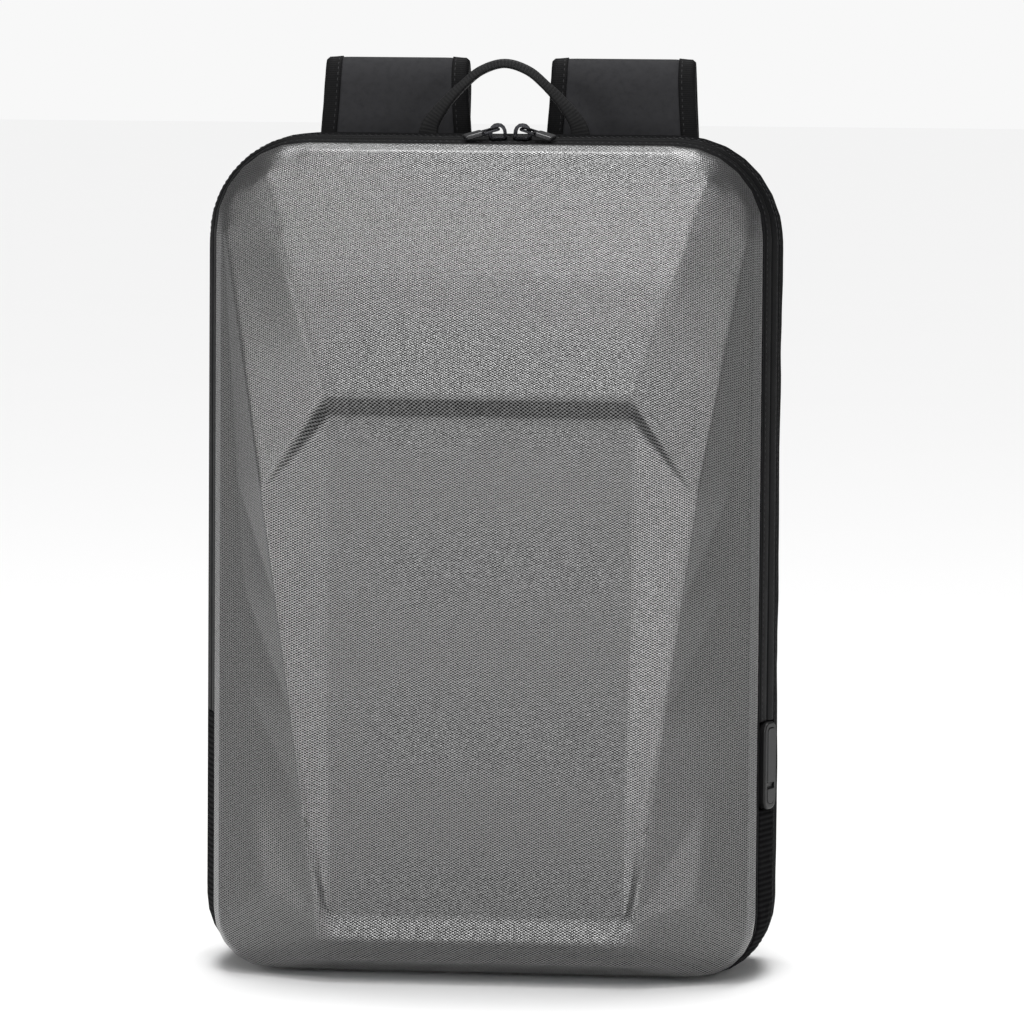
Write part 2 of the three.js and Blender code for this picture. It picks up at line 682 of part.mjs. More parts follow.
// Top handle: a band that stands flat at its feet and is folded round at the grip
function handle() {
  const base = SHELL_TOP + bulgeAt(HANDLE_BACK).top + GAP;
  const onArch = (row, side) => new THREE.Vector3(
    (side * row.across * HANDLE_SPAN) / 2,
    RIM_Y + HANDLE_BACK,
    base + row.up * HANDLE_RISE,
  );
  const left = HANDLE_ARCH.map((row) => ({ ...row, at: onArch(row, -1) }));
  const right = HANDLE_ARCH.slice(0, -1).reverse().map((row) => ({ ...row, at: onArch(row, 1) }));
  const rows = [...left, ...right];
  const arch = new THREE.CatmullRomCurve3(rows.map((row) => row.at));
  const back = new THREE.Vector3(0, 1, 0);
  const sections = Array.from({ length: HANDLE_STEPS + 1 }, (_, i) => {
    const share = i / HANDLE_STEPS;
    const atEnd = i === 0 || i === HANDLE_STEPS;
    const place = share * (rows.length - 1);
    const low = Math.min(Math.floor(place), rows.length - 2);
    const flat = mix(rows[low].flat, rows[low + 1].flat, place - low);
    const along = atEnd ? new THREE.Vector3(0, 0, i === 0 ? 1 : -1) : arch.getTangent(share);
    const out = new THREE.Vector3().crossVectors(back, along).normalize();
    const high = mix(HANDLE_GRIP_HEIGHT, HANDLE_FOOT_WIDTH, flat) / 2;
    const deep = mix(HANDLE_GRIP_DEPTH, HANDLE_FOOT_THICKNESS, flat) / 2;
    return Array.from({ length: HANDLE_SIDES }, (_unused, k) => {
      const angle = ((k + 1 / 2) / HANDLE_SIDES) * 2 * Math.PI;
      const squarer = (value) => Math.sign(value) * Math.sqrt(Math.abs(value));
      return arch.getPoint(share)
        .addScaledVector(out, high * squarer(Math.cos(angle)))
        .addScaledVector(back, deep * squarer(Math.sin(angle)));
    });
  });
  return loft(sections, true);
}

// Zip slider: a plate on the tapes with a crown that its pull hangs in
function zipSlider() {
  const shape = roundedRectangle(SLIDER_LENGTH, SLIDER_WIDTH, SLIDER_CORNER);
  const plate = slab(shape, SLIDER_THICKNESS, SLIDER_THICKNESS / 4, 1);
  plate.rotateX(Math.PI / 2).translate(0, 0, -SLIDER_THICKNESS / 2);
  const crown = new THREE.CatmullRomCurve3(CROWN_LINE.map(({ across, up }) => new THREE.Vector3(
    (across * CROWN_LENGTH) / 2,
    0,
    SLIDER_THICKNESS / 2 + up * CROWN_HEIGHT,
  )));
  const corners = [[-1, -1], [1, -1], [1, 1], [-1, 1]];
  const bar = new THREE.Shape(corners.map(
    ([x, y]) => new THREE.Vector2((x * CROWN_BAR) / 2, (y * CROWN_WIDTH) / 2),
  ));
  const arch = new THREE.ExtrudeGeometry(bar, { extrudePath: crown, steps: CROWN_STEPS });
  return geometryOf(solidOf(plate).add(solidOf(arch)));
}

// A pull: a flat metal link whose eye hangs in the crown, and a moulded tab over its tail
function pullLink() {
  const shape = roundedRectangle(LINK_LENGTH, LINK_WIDTH, LINK_WIDTH / 4);
  const eye = roundedRectangle(LINK_EYE_LENGTH, LINK_EYE_WIDTH, LINK_BAR / 2);
  const eyeMiddle = LINK_BAR + LINK_EYE_LENGTH / 2 - LINK_LENGTH / 2;
  shape.holes.push(new THREE.Path(eye.getPoints(SMALL_ROUND_STEPS).map(
    (point) => new THREE.Vector2(point.x + eyeMiddle, point.y),
  )));
  const link = slab(shape, LINK_BAR, LINK_BAR / 5, 1);
  link.rotateX(-Math.PI / 2).translate((LINK_LENGTH - LINK_BAR) / 2, 0, LINK_BAR / 2);
  const tongueLength = TAB_OVERLAP + GAP;
  const sideCut = new THREE.BoxGeometry(tongueLength, LINK_WIDTH, 2 * LINK_BAR);
  const tail = LINK_LENGTH - LINK_BAR / 2;
  const cuts = [1, -1].map((side) => solidOf(sideCut.clone().translate(
    tail - tongueLength / 2 + MERGE_DISTANCE,
    (side * (LINK_WIDTH + TAB_TONGUE_WIDTH)) / 2,
    0,
  )));
  return geometryOf(cuts.reduce((solid, cut) => solid.subtract(cut), solidOf(link)));
}

function pullTab() {
  const shape = roundedRectangle(TAB_LENGTH, TAB_WIDTH, TAB_CORNER);
  const start = LINK_LENGTH - LINK_BAR / 2 - TAB_OVERLAP;
  const block = slab(shape, TAB_THICKNESS, TAB_THICKNESS / 4, SMALL_ROUND_STEPS);
  block.rotateX(-Math.PI / 2).translate(start + TAB_LENGTH / 2, 0, TAB_THICKNESS / 2);
  const slot = new THREE.BoxGeometry(
    TAB_OVERLAP + GAP + SLOT_MOUTH,
    TAB_TONGUE_WIDTH + 2 * GAP,
    LINK_BAR + 2 * GAP,
  ).translate(start + (TAB_OVERLAP + GAP - SLOT_MOUTH) / 2, 0, 0);
  return geometryOf(solidOf(block).subtract(solidOf(slot)));
}

// Side port: a moulded frame that fills the band between the zip's end and the cloth hinge
function portGroup() {
  const place = new THREE.Group();
  const frameShape = roundedRectangle(PORT_WIDTH, PORT_HEIGHT, PORT_CORNER);
  const frame = solidOf(slab(frameShape, PORT_THICKNESS, PORT_EDGE_ROUND, SMALL_ROUND_STEPS));
  const inside = [PORT_WIDTH - 2 * PORT_FRAME, PORT_HEIGHT - 2 * PORT_FRAME, PORT_CORNER - PORT_FRAME];
  const recess = slab(roundedRectangle(...inside), 2 * PORT_COVER_RECESS, PORT_COVER_RECESS / 8, 1);
  const housing = geometryOf(frame.subtract(solidOf(recess.translate(0, -PORT_COVER_RECESS, 0))));
  const coverSize = [inside[0] - 2 * GAP, inside[1] - 2 * GAP, inside[2] - GAP];
  const cover = slab(roundedRectangle(...coverSize), PORT_COVER_RECESS, PORT_COVER_RECESS / 4, 1);
  const nickRadius = PORT_COVER_NICK / 2;
  const nick = new THREE.CylinderGeometry(nickRadius, nickRadius, coverSize[0], 2 * CORNER_STEPS);
  nick.rotateZ(Math.PI / 2).translate(0, -PORT_COVER_NICK / 4, PORT_NICK_DROP - PORT_HEIGHT / 2);
  const nicked = solidOf(cover.translate(0, -GAP, 0)).subtract(solidOf(nick));
  place.add(
    mesh('side_port_housing', housing, 'plastic'),
    mesh('side_port_cover', geometryOf(nicked), 'plastic'),
  );
  const back = (FRONT_TAPE + GUSSET_FRONT - GAP) / 2;
  const [front, rear] = [bulgeAt(FRONT_TAPE).side, bulgeAt(GUSSET_FRONT).side];
  const slope = Math.atan2(rear - front, GUSSET_FRONT - FRONT_TAPE);
  place.rotation.z = Math.PI / 2 - slope;
  place.position.set(
    SHELL_WIDTH / 2 + (front + rear) / 2 + PORT_PROUD,
    RIM_Y + back,
    ZIP_END_HEIGHT - GAP - PORT_HEIGHT / 2,
  );
  return place;
}

// The whole bag
const bag = new THREE.Group();
const hinge = cradleUnder(ZIP_END_HEIGHT - GAP, ZIP_END_HEIGHT - 2 * GAP - PORT_HEIGHT);
const zip = archOver(ZIP_END_HEIGHT);
const coil = SLIT - COIL_WIDTH / 2;
bag.add(
  mesh('front_shell', shellSolid(), 'shell'),
  mesh('shell_binding', band(GAP, BINDING_BACK, BINDING_WALL, WHOLE_RING), 'fabric'),
  mesh('zip_tape_front', band(FRONT_TAPE, SLIT - ZIP_SLIT / 2, TAPE_WALL, zip), 'tape'),
  mesh('zip_tape_back', band(BACK_TAPE, BACK_TAPE + TAPE_WIDTH, TAPE_WALL, zip), 'tape'),
  mesh('zip_coil', band(coil, coil + COIL_WIDTH, COIL_WALL, zip, TAPE_WALL + GAP), 'tape'),
  mesh('hinge_strip', band(FRONT_TAPE, GUSSET_FRONT - GAP, TAPE_WALL, hinge), 'fabric'),
  mesh('gusset', band(GUSSET_FRONT, BODY_DEPTH, BODY_WALL, WHOLE_RING), 'fabric'),
  mesh('back_panel', backPanel(), 'fabric'),
  mesh('top_handle', handle(), 'webbing'),
  portGroup(),
);
[{ name: 'left', side: -1 }, { name: 'right', side: 1 }].forEach(({ name, side }) => {
  bag.add(
    mesh(`strap_${name}`, strip(strapStations(side), true), 'strap'),
    mesh(`strap_tab_${name}`, webbingTab(side), 'webbing'),
    mesh(`strap_adjuster_${name}`, adjuster(side), 'plastic'),
    mesh(`strap_webbing_${name}`, webbingRun(side), 'webbing'),
    mesh(`strap_anchor_${name}`, strapAnchor(side), 'fabric'),
  );
  const tilt = Math.atan2(
    bulgeAt(GUSSET_FRONT).top - bulgeAt(FRONT_TAPE).top,
    GUSSET_FRONT - FRONT_TAPE,
  );
  const seat = new THREE.Group();
  seat.position.set(
    SLIDERS_ACROSS + (side * SLIDER_SPACING) / 2,
    RIM_Y + SLIT,
    SHELL_TOP + bulgeAt(SLIT).top + GAP / Math.cos(tilt),
  );
  seat.rotation.set(tilt, 0, -side * radians(SLIDER_TURN));
  const slider = mesh(`zip_slider_${name}`, zipSlider(), 'metal');
  slider.position.z = SLIDER_THICKNESS / 2;
  const pull = new THREE.Group();
  pull.name = `pull_${name}`;
  pull.position.z = SLIDER_THICKNESS + CROWN_HEIGHT - CROWN_BAR / 2 - GAP - LINK_BAR / 2;
  const outwardTurn = side > 0 ? -radians(PULL_TURN) : Math.PI + radians(PULL_TURN);
  pull.rotation.set(0, radians(PULL_DROOP), outwardTurn, 'ZYX');
  pull.add(mesh(`zip_link_${name}`, pullLink(), 'metal'), mesh(`zip_tab_${name}`, pullTab(), 'plastic'));
  seat.add(slider, pull);
  bag.add(seat);
});

export default bag;
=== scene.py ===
"""Looks of a hard shell backpack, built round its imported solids.

Metres. +X is to the right as the shell is seen, +Y runs back to the straps and +Z is up.
"""
import math
from collections import namedtuple

import bmesh
import bpy
from bpy.props import FloatProperty, PointerProperty, StringProperty
from mathutils import Matrix, Vector, noise


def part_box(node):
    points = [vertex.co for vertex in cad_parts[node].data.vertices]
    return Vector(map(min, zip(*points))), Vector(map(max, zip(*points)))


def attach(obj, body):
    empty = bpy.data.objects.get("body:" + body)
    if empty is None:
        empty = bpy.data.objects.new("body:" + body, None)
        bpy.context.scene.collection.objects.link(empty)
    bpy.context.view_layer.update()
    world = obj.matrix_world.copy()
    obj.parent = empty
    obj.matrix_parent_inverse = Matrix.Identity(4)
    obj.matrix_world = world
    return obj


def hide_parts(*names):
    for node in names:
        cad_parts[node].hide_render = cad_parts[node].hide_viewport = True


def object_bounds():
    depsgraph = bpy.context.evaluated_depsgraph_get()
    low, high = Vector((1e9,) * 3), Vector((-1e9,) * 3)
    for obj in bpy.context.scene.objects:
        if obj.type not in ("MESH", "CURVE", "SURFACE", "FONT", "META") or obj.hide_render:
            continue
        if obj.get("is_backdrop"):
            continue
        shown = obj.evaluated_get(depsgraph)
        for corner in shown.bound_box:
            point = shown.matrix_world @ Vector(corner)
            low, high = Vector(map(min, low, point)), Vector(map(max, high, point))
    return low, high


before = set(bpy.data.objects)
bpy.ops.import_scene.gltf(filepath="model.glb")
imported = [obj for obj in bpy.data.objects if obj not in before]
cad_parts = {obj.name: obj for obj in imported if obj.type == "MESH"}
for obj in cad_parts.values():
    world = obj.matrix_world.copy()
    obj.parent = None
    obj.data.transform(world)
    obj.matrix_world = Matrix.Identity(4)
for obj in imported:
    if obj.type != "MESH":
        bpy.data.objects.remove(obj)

bl_info = {
    "name": "Hard shell backpack",
    "version": (1, 0, 0),
    "blender": (4, 5, 0),
    "location": "View3D > Sidebar > Backpack",
    "description": "Dresses the packed solids of a hard shell backpack",
    "category": "Add Mesh",
}

CAD_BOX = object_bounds()
MM = 0.001
ACROSS, BACK, UP = Vector((1, 0, 0)), Vector((0, 1, 0)), Vector((0, 0, 1))

SHELL_LOW, SHELL_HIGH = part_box("front_shell")
RIM_Y = SHELL_HIGH.y
SHELL_HALF = SHELL_HIGH.x
SHELL_TOP = SHELL_HIGH.z
SHELL_FLOOR = SHELL_LOW.z
BODY_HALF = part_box("gusset")[1].x
BODY_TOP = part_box("gusset")[1].z
BODY_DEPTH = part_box("gusset")[1].y - RIM_Y
ZIP_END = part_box("zip_tape_front")[0].z
PANEL_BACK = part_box("back_panel")[1].y
TOP_RADIUS = 48 * MM
BOTTOM_RADIUS = 32 * MM
GUSSET_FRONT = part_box("gusset")[0].y - RIM_Y
FRONT_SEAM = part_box("zip_tape_front")[0].y - RIM_Y + 2.2 * MM
BACK_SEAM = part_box("zip_tape_back")[1].y - RIM_Y - 2.2 * MM
CHANNEL_LEVELS = (110 * MM, 200 * MM, 290 * MM, 375 * MM)

# How far the body stands out at each depth, as shares of its bulges
BodyRow = namedtuple("BodyRow", "back side top bottom")
BODY_ROWS = (
    BodyRow(0, 0, 0, 0),
    BodyRow(0.04, 0.14, 0.14, 0.25),
    BodyRow(0.14, 0.52, 0.48, 0.65),
    BodyRow(0.24, 0.9, 0.8, 1),
    BodyRow(0.44, 1, 1, 1),
    BodyRow(0.72, 0.8, 0.8, 1),
    BodyRow(1, 0.3, 0.4, 1),
)

# The strap's middle line: out from the back panel, up from the strap's end, splay and width as
# shares of their sizes
StrapRow = namedtuple("StrapRow", "out up splay width")
STRAP_ROWS = (
    StrapRow(0.12, 0.783, 0, 1.08),
    StrapRow(0.12, 0.87, 0, 1.07),
    StrapRow(0.13, 0.94, 0, 1.02),
    StrapRow(0.17, 0.98, 0, 1),
    StrapRow(0.31, 1, 0, 1),
    StrapRow(0.47, 0.98, 0, 1),
    StrapRow(0.55, 0.94, 0.02, 1),
    StrapRow(0.66, 0.82, 0.12, 1),
    StrapRow(0.84, 0.6, 0.35, 0.98),
    StrapRow(0.9, 0.4, 0.6, 0.94),
    StrapRow(0.82, 0.2, 0.85, 0.86),
    StrapRow(0.66, 0.04, 1, 0.76),
    StrapRow(0.62, 0, 1, 0.6),
)
STRAP_WIDTH = 79 * MM
STRAP_THICKNESS = 9 * MM
STRAP_FOLD_THICKNESS = 8 * MM
STRAP_INNER_EDGE = 24 * MM
STRAP_SPLAY = 22 * MM
STRAP_TOP = 501 * MM
STRAP_END = 118 * MM
STRAP_STAND_OFF = 44 * MM
STRAP_BINDING_PROUD = 0.7 * MM
STRAP_SEAM_PROUD = 0.6 * MM
WEBBING_WIDTH = 25 * MM
WEBBING_THICKNESS = 1.6 * MM
WEBBING_GAP = 0.3 * MM
ANCHOR_SEAM = 30 * MM

# The handle's arch, as shares of half its span and of its rise. Its section goes from the folded
# grip to the flat feet.
ArchRow = namedtuple("ArchRow", "across up flat")
ARCH_ROWS = (
    ArchRow(1, 0, 1),
    ArchRow(0.965, 0.16, 0.75),
    ArchRow(0.76, 0.46, 0.25),
    ArchRow(0.54, 0.7, 0),
    ArchRow(0.31, 0.9, 0),
    ArchRow(0, 1, 0),
)
HANDLE_SPAN = 85 * MM
HANDLE_RISE = 40 * MM
HANDLE_GRIP_TALL, HANDLE_GRIP_DEEP = 5.2 * MM, 10 * MM
HANDLE_FOOT_TALL, HANDLE_FOOT_DEEP = 11 * MM, 3 * MM

# Turns of a panel's edges that still count as flat, and the passes that draw the shell smooth
FLAT_TURN = math.radians(1)
PANEL_PASSES = 40
CORNER_PASSES = 10
CORNER_DEPTH = 8 * MM


def linear(code):
    """An sRGB hex colour as linear red, green, blue and alpha."""
    parts = [int(code[i:i + 2], 16) / 255 for i in (1, 3, 5)]
    return tuple(c / 12.92 if c <= 0.04045 else ((c + 0.055) / 1.055) ** 2.4 for c in parts) + (1,)


def size(label, description, default):
    """A length in metres that the panel shows."""
    return FloatProperty(
        name=label, description=description, default=default, min=0, precision=5,
        unit="LENGTH", subtype="DISTANCE",
    )


def share(label, description, default):
    """A plain factor that the panel shows."""
    return FloatProperty(name=label, description=description, default=default, min=0, subtype="FACTOR")


def shade(label, description, default):
    """A hex colour that the panel shows."""
    return StringProperty(name=label, description=description, default=default)


class BackpackShell(bpy.types.PropertyGroup):
    """Sizes and colours of the formed shell."""
    colour: shade("Shell", "Raised dots of the emboss", "#818181")
    # the hollow colour is painted shade: the dark gaps between the raised dots that light on the emboss would
    # make
    hollow_shade: shade("Shell hollows", "Hollows between the dots", "#080808")
    crease: FloatProperty(name="Crease", description="Turn between facets from which a crease is kept",
                          default=math.radians(8), min=0, subtype="ANGLE")
    facet_grid: size("Facet grid", "Longest edge on the shell's facets", 3.2 * MM)
    dots_across: size("Dots across", "Width of one repeat of the emboss", 2.5 * MM)
    dots_up: size("Dots up", "Height of one repeat of the emboss", 1.4 * MM)
    dot_relief: size("Dot relief", "Height of the emboss", 0.14 * MM)


class BackpackCloth(bpy.types.PropertyGroup):
    """Sizes and colours of the cloth, the straps and the trim."""
    body: shade("Body cloth", "Woven cloth of the body", "#0c0c0d")
    strap: shade("Straps", "Smooth cloth over the strap foam", "#252527")
    binding: shade("Binding", "Folded tape round the edges", "#0f0f10")
    webbing: shade("Webbing", "Handle and strap webbing", "#0f0f10")
    thread: shade("Thread", "Seam thread", "#1c1c1e")
    stitch_pitch: size("Stitch pitch", "Length of one stitch and its gap", 3.4 * MM)
    stitch_length: size("Stitch", "Length of a stitch", 2.5 * MM)
    stitch_width: size("Thread width", "Thickness of the thread", 0.55 * MM)
    binding_width: size("Binding width", "Width of the tape that shows on a strap", 8.5 * MM)
    piping: size("Piping", "Radius of the corded seam", 1.7 * MM)
    cloth_sag: size("Cloth sag", "How far the cloth waves", 0.7 * MM)
    groove: size("Groove", "Depth of the back panel's channels", 4.5 * MM)


class BackpackStage(bpy.types.PropertyGroup):
    """Lights and floor."""
    key: share("Key light", "Watts of the soft light in front", 15)
    crown: share("Crown light", "Watts of the soft light above the front", 21)
    sides: share("Side lights", "Watts of each low light beside the front", 13)
    wings: share("Wing lights", "Watts of each light high on the two sides", 6)
    top: share("Top light", "Strength of the broad light overhead", 2.75)
    glow: share("Glow", "Strength of the light from all round", 0.15)
    floor: shade("Floor", "Pale floor", "#f7f7f7")


# Materials

def add_node(tree, kind, inputs=None, **settings):
    """Adds a node. Each input takes a value, or the socket that feeds it."""
    made = tree.nodes.new(kind)
    for key, value in settings.items():
        setattr(made, key, value)
    for key, value in (inputs or {}).items():
        if isinstance(value, bpy.types.NodeSocket):
            tree.links.new(value, made.inputs[key])
        else:
            made.inputs[key].default_value = value
    return made


# high is the colour of the raised threads, ribs and dots, and low that of the hollows: for the
# weave and rib patterns low is painted shade, for grain only a darker random tone. pitch is the
# repeat across and along in millimetres, relief is in millimetres, mottle is how fine the grain is,
# contrast is how far the pattern, rather than the grain, sets the colour, and dark and light are
# where the colour stops changing
Finish = namedtuple("Finish", (
    "high low roughness metallic specular pattern pitch relief mottle contrast dark light"
), defaults=(0.25, 0.1, 0.75))


def surface(name, finish, where="object", stretch=0.0):
    """A material whose pattern runs on object coordinates, or along a swept piece."""
    made = bpy.data.materials.get(name)
    if made:
        return made
    made = bpy.data.materials.new(name)
    made.use_nodes = True
    tree = made.node_tree
    tree.nodes.clear()
    if where == "along":
        across = add_node(tree, "ShaderNodeAttribute", attribute_name="across")
        along = add_node(tree, "ShaderNodeAttribute", attribute_name="along")
        place = add_node(tree, "ShaderNodeCombineXYZ", {
            "X": across.outputs["Fac"], "Z": along.outputs["Fac"],
        }).outputs["Vector"]
    else:
        place = add_node(tree, "ShaderNodeTexCoord").outputs["Object"]
    grain = add_node(tree, "ShaderNodeTexNoise", {
        "Vector": place, "Scale": finish.mottle, "Detail": 3.0, "Roughness": 0.6,
    })
    if stretch:
        # a formed sheet is drawn out down its sides, so its pattern grows with depth
        depth = add_node(tree, "ShaderNodeSeparateXYZ", {"Vector": place}).outputs["Y"]
        factor = add_node(tree, "ShaderNodeMath", {0: depth, 1: stretch, 2: 1.0 - stretch * SHELL_LOW.y},
                          operation="MULTIPLY_ADD")
        place = add_node(tree, "ShaderNodeVectorMath", {0: place, "Scale": factor.outputs[0]},
                         operation="SCALE").outputs["Vector"]
    turns = [2 * math.pi / (p * MM) if p else 0.0 for p in finish.pitch]
    waves = add_node(tree, "ShaderNodeVectorMath", {0: place, 1: (turns[0], turns[0], turns[1])},
                     operation="MULTIPLY")
    waves = add_node(tree, "ShaderNodeVectorMath", {0: waves.outputs["Vector"]}, operation="COSINE")
    waves = add_node(tree, "ShaderNodeSeparateXYZ", {"Vector": waves.outputs["Vector"]})
    if finish.pattern == "weave":
        raised = add_node(tree, "ShaderNodeMath", {0: waves.outputs["X"], 1: waves.outputs["Z"]},
                          operation="MULTIPLY").outputs[0]
    elif finish.pattern == "rib":
        raised = waves.outputs["Z"]
    else:
        raised = grain.outputs["Fac"]
    height = add_node(tree, "ShaderNodeMath", {0: raised, 1: 0.42, 2: grain.outputs["Fac"]},
                      operation="MULTIPLY_ADD").outputs[0]
    # for weave and rib patterns the colour follows the raised pattern, so the hollows take the low colour as
    # painted shade; the grain adds random tone
    grain_and_hollow_shade = add_node(tree, "ShaderNodeMath", {0: raised, 1: finish.contrast, 2: grain.outputs["Fac"]},
                    operation="MULTIPLY_ADD").outputs[0]
    grain_and_hollow_shade = add_node(tree, "ShaderNodeMapRange", {
        "Value": grain_and_hollow_shade, "From Min": finish.dark, "From Max": finish.light,
    }, interpolation_type="SMOOTHSTEP").outputs["Result"]
    colour = add_node(tree, "ShaderNodeMix", {0: grain_and_hollow_shade}, data_type="RGBA")
    # the sockets of this node repeat for each kind of value, so the colour ones are set by number
    colour.inputs[6].default_value = linear(finish.low)
    colour.inputs[7].default_value = linear(finish.high)
    rough = add_node(tree, "ShaderNodeMapRange", {
        "Value": height, "From Min": 0.1, "From Max": 0.9,
        "To Min": finish.roughness + 0.06, "To Max": finish.roughness - 0.06,
    })
    bump = add_node(tree, "ShaderNodeBump", {
        "Height": height, "Distance": finish.relief * MM, "Strength": 1.0,
    })
    shader = add_node(tree, "ShaderNodeBsdfPrincipled", {
        "Base Color": colour.outputs[2],
        "Roughness": rough.outputs["Result"],
        "Normal": bump.outputs["Normal"],
        "Metallic": finish.metallic,
        "Specular IOR Level": finish.specular,
    })
    add_node(tree, "ShaderNodeOutputMaterial", {"Surface": shader.outputs["BSDF"]})
    return made


def shell_sheet():
    """Vacuum-formed polycarbonate with an embossed plain weave: satin grey, with staggered dots and
    near-black painted shade in the hollows between them.
    """
    props = bpy.context.scene.backpack_shell
    pitch = (props.dots_across / MM, props.dots_up / MM)
    # the high contrast sets the painted shade of the hollows hard against the grey of the dots
    finish = Finish(
        props.colour, props.hollow_shade, 0.29, 0.75, 0.5, "weave", pitch, props.dot_relief / MM, 900,
        contrast=0.9, dark=0.2, light=0.8,
    )
    return surface("formed_polycarbonate", finish, stretch=0.8)


def body_cloth():
    """Coated polyester plain weave: near black, with a faint grid of threads."""
    props = bpy.context.scene.backpack_cloth
    finish = Finish(props.body, "#070708", 0.85, 0, 0.03, "weave", (1.2, 1.2), 0.1, 60)
    return surface("coated_polyester", finish)


def strap_cloth():
    """Brushed polyester knit over foam: matte and even, a little lighter than the body."""
    props = bpy.context.scene.backpack_cloth
    finish = Finish(props.strap, "#1f1f21", 0.9, 0, 0.25, "grain", (0, 0), 0.12, 260)
    return surface("brushed_knit", finish)


def binding_tape():
    """Folded woven tape: fine ribs run across it, with a slight shine on its fold."""
    props = bpy.context.scene.backpack_cloth
    finish = Finish(props.binding, "#09090a", 0.7, 0, 0.1, "rib", (0, 1.1), 0.08, 90)
    return surface("folded_tape", finish, "along")


def rim_tape():
    """The same folded tape where it runs round the shell, drawn on object coordinates."""
    props = bpy.context.scene.backpack_cloth
    finish = Finish(props.binding, "#070708", 0.7, 0, 0.06, "weave", (1.1, 1.1), 0.08, 90)
    return surface("folded_tape_rim", finish)


def zip_cloth():
    """Film-coated reverse zip tape: smoother than the body, with a soft shine at its lips."""
    finish = Finish("#0b0b0c", "#060607", 0.55, 0, 0.06, "weave", (1.0, 1.0), 0.03, 120)
    return surface("coated_zip_tape", finish)


def zip_coil_nylon():
    """Drawn nylon coil: small hard ribs across the zip."""
    finish = Finish("#1c1c1e", "#0a0a0b", 0.4, 0, 0.5, "weave", (1.4, 1.4), 0.2, 80)
    return surface("nylon_coil", finish)


def ribbed_cloth():
    """Corded polyester: level ribs about three millimetres apart, which let the band hinge."""
    finish = Finish("#0f0f10", "#050506", 0.8, 0, 0.03, "rib", (0, 3.0), 0.5, 70)
    return surface("corded_polyester", finish)


def air_mesh():
    """Knitted spacer mesh over foam: rows of small open cells."""
    finish = Finish("#202022", "#050506", 0.9, 0, 0.2, "weave", (3.6, 3.0), 0.5, 60)
    return surface("spacer_mesh", finish)


def webbing_cloth():
    """Woven polyester webbing: close ribs across its length."""
    props = bpy.context.scene.backpack_cloth
    finish = Finish(props.webbing, "#0a0a0b", 0.72, 0, 0.3, "rib", (0, 1.9), 0.1, 140)
    return surface("ribbed_webbing", finish, "along")


def thread():
    """Bonded polyester thread: dark, a little shinier than the cloth it holds."""
    props = bpy.context.scene.backpack_cloth
    finish = Finish(props.thread, "#1a1a1c", 0.55, 0, 0.4, "grain", (0, 0), 0.05, 800)
    return surface("bonded_thread", finish)


def moulded_plastic():
    """Injection-moulded nylon with a fine spark-eroded grain: dull black with soft edges."""
    finish = Finish("#0d0d0e", "#080809", 0.46, 0, 0.3, "grain", (0, 0), 0.04, 1400)
    return surface("moulded_nylon", finish)


def pull_rubber():
    """Moulded soft vinyl over the pull's tail: black with a satin skin."""
    finish = Finish("#1a1a1c", "#111112", 0.4, 0, 0.5, "grain", (0, 0), 0.03, 900)
    return surface("moulded_vinyl", finish)


def plated_zinc():
    """Die-cast zinc, black plated and tumbled: dark metal with small bright glints."""
    finish = Finish("#3a3a3d", "#202022", 0.28, 1.0, 0.5, "grain", (0, 0), 0.03, 500)
    return surface("black_plated_zinc", finish)


# Making pieces

def settle(bm, name, material, stands_for=(), body="root"):
    """Turns a bmesh into a named piece that rides on a body."""
    bmesh.ops.recalc_face_normals(bm, faces=bm.faces)
    mesh = bpy.data.meshes.new(name)
    bm.to_mesh(mesh)
    bm.free()
    if not mesh.polygons:
        raise RuntimeError(f"{name} has no faces")
    mesh.shade_smooth()
    mesh.materials.append(material)
    piece = bpy.data.objects.new(name, mesh)
    bpy.context.scene.collection.objects.link(piece)
    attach(piece, body)
    if stands_for:
        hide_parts(*stands_for)
    return piece


def paint(material, *nodes):
    """Gives carried-over solids their finish."""
    for name in nodes:
        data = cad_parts[name].data
        data.materials.clear()
        data.materials.append(material)


def solid_copy(node):
    """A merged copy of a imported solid."""
    bm = bmesh.new()
    bm.from_mesh(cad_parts[node].data)
    bmesh.ops.remove_doubles(bm, verts=bm.verts, dist=0.002 * MM)
    return bm


def finer(bm, longest, chosen=None):
    """Halves the edges that are longer than the given length until none is left."""
    for _ in range(8):
        over = [edge for edge in bm.edges if edge.calc_length() > longest
                and (chosen is None or any(chosen(face) for face in edge.link_faces))]
        if not over:
            return
        bmesh.ops.subdivide_edges(bm, edges=over, cuts=1)
        bmesh.ops.triangulate(bm, faces=bm.faces)


def soften(bm, times, verts=None):
    """Draws points towards their neighbours' middle."""
    for _ in range(times):
        bmesh.ops.smooth_vert(bm, verts=verts or bm.verts, factor=0.5,
                              use_axis_x=True, use_axis_y=True, use_axis_z=True)


def eased(bm, width, sharper_than=40):
    """Rounds the sharp edges of a copied solid."""
    sharp = [edge for edge in bm.edges
             if edge.is_manifold and edge.calc_face_angle() > math.radians(sharper_than)]
    bmesh.ops.bevel(bm, geom=sharp, offset=width, segments=3, profile=0.5, affect="EDGES",
                    material=-1, clamp_overlap=True)


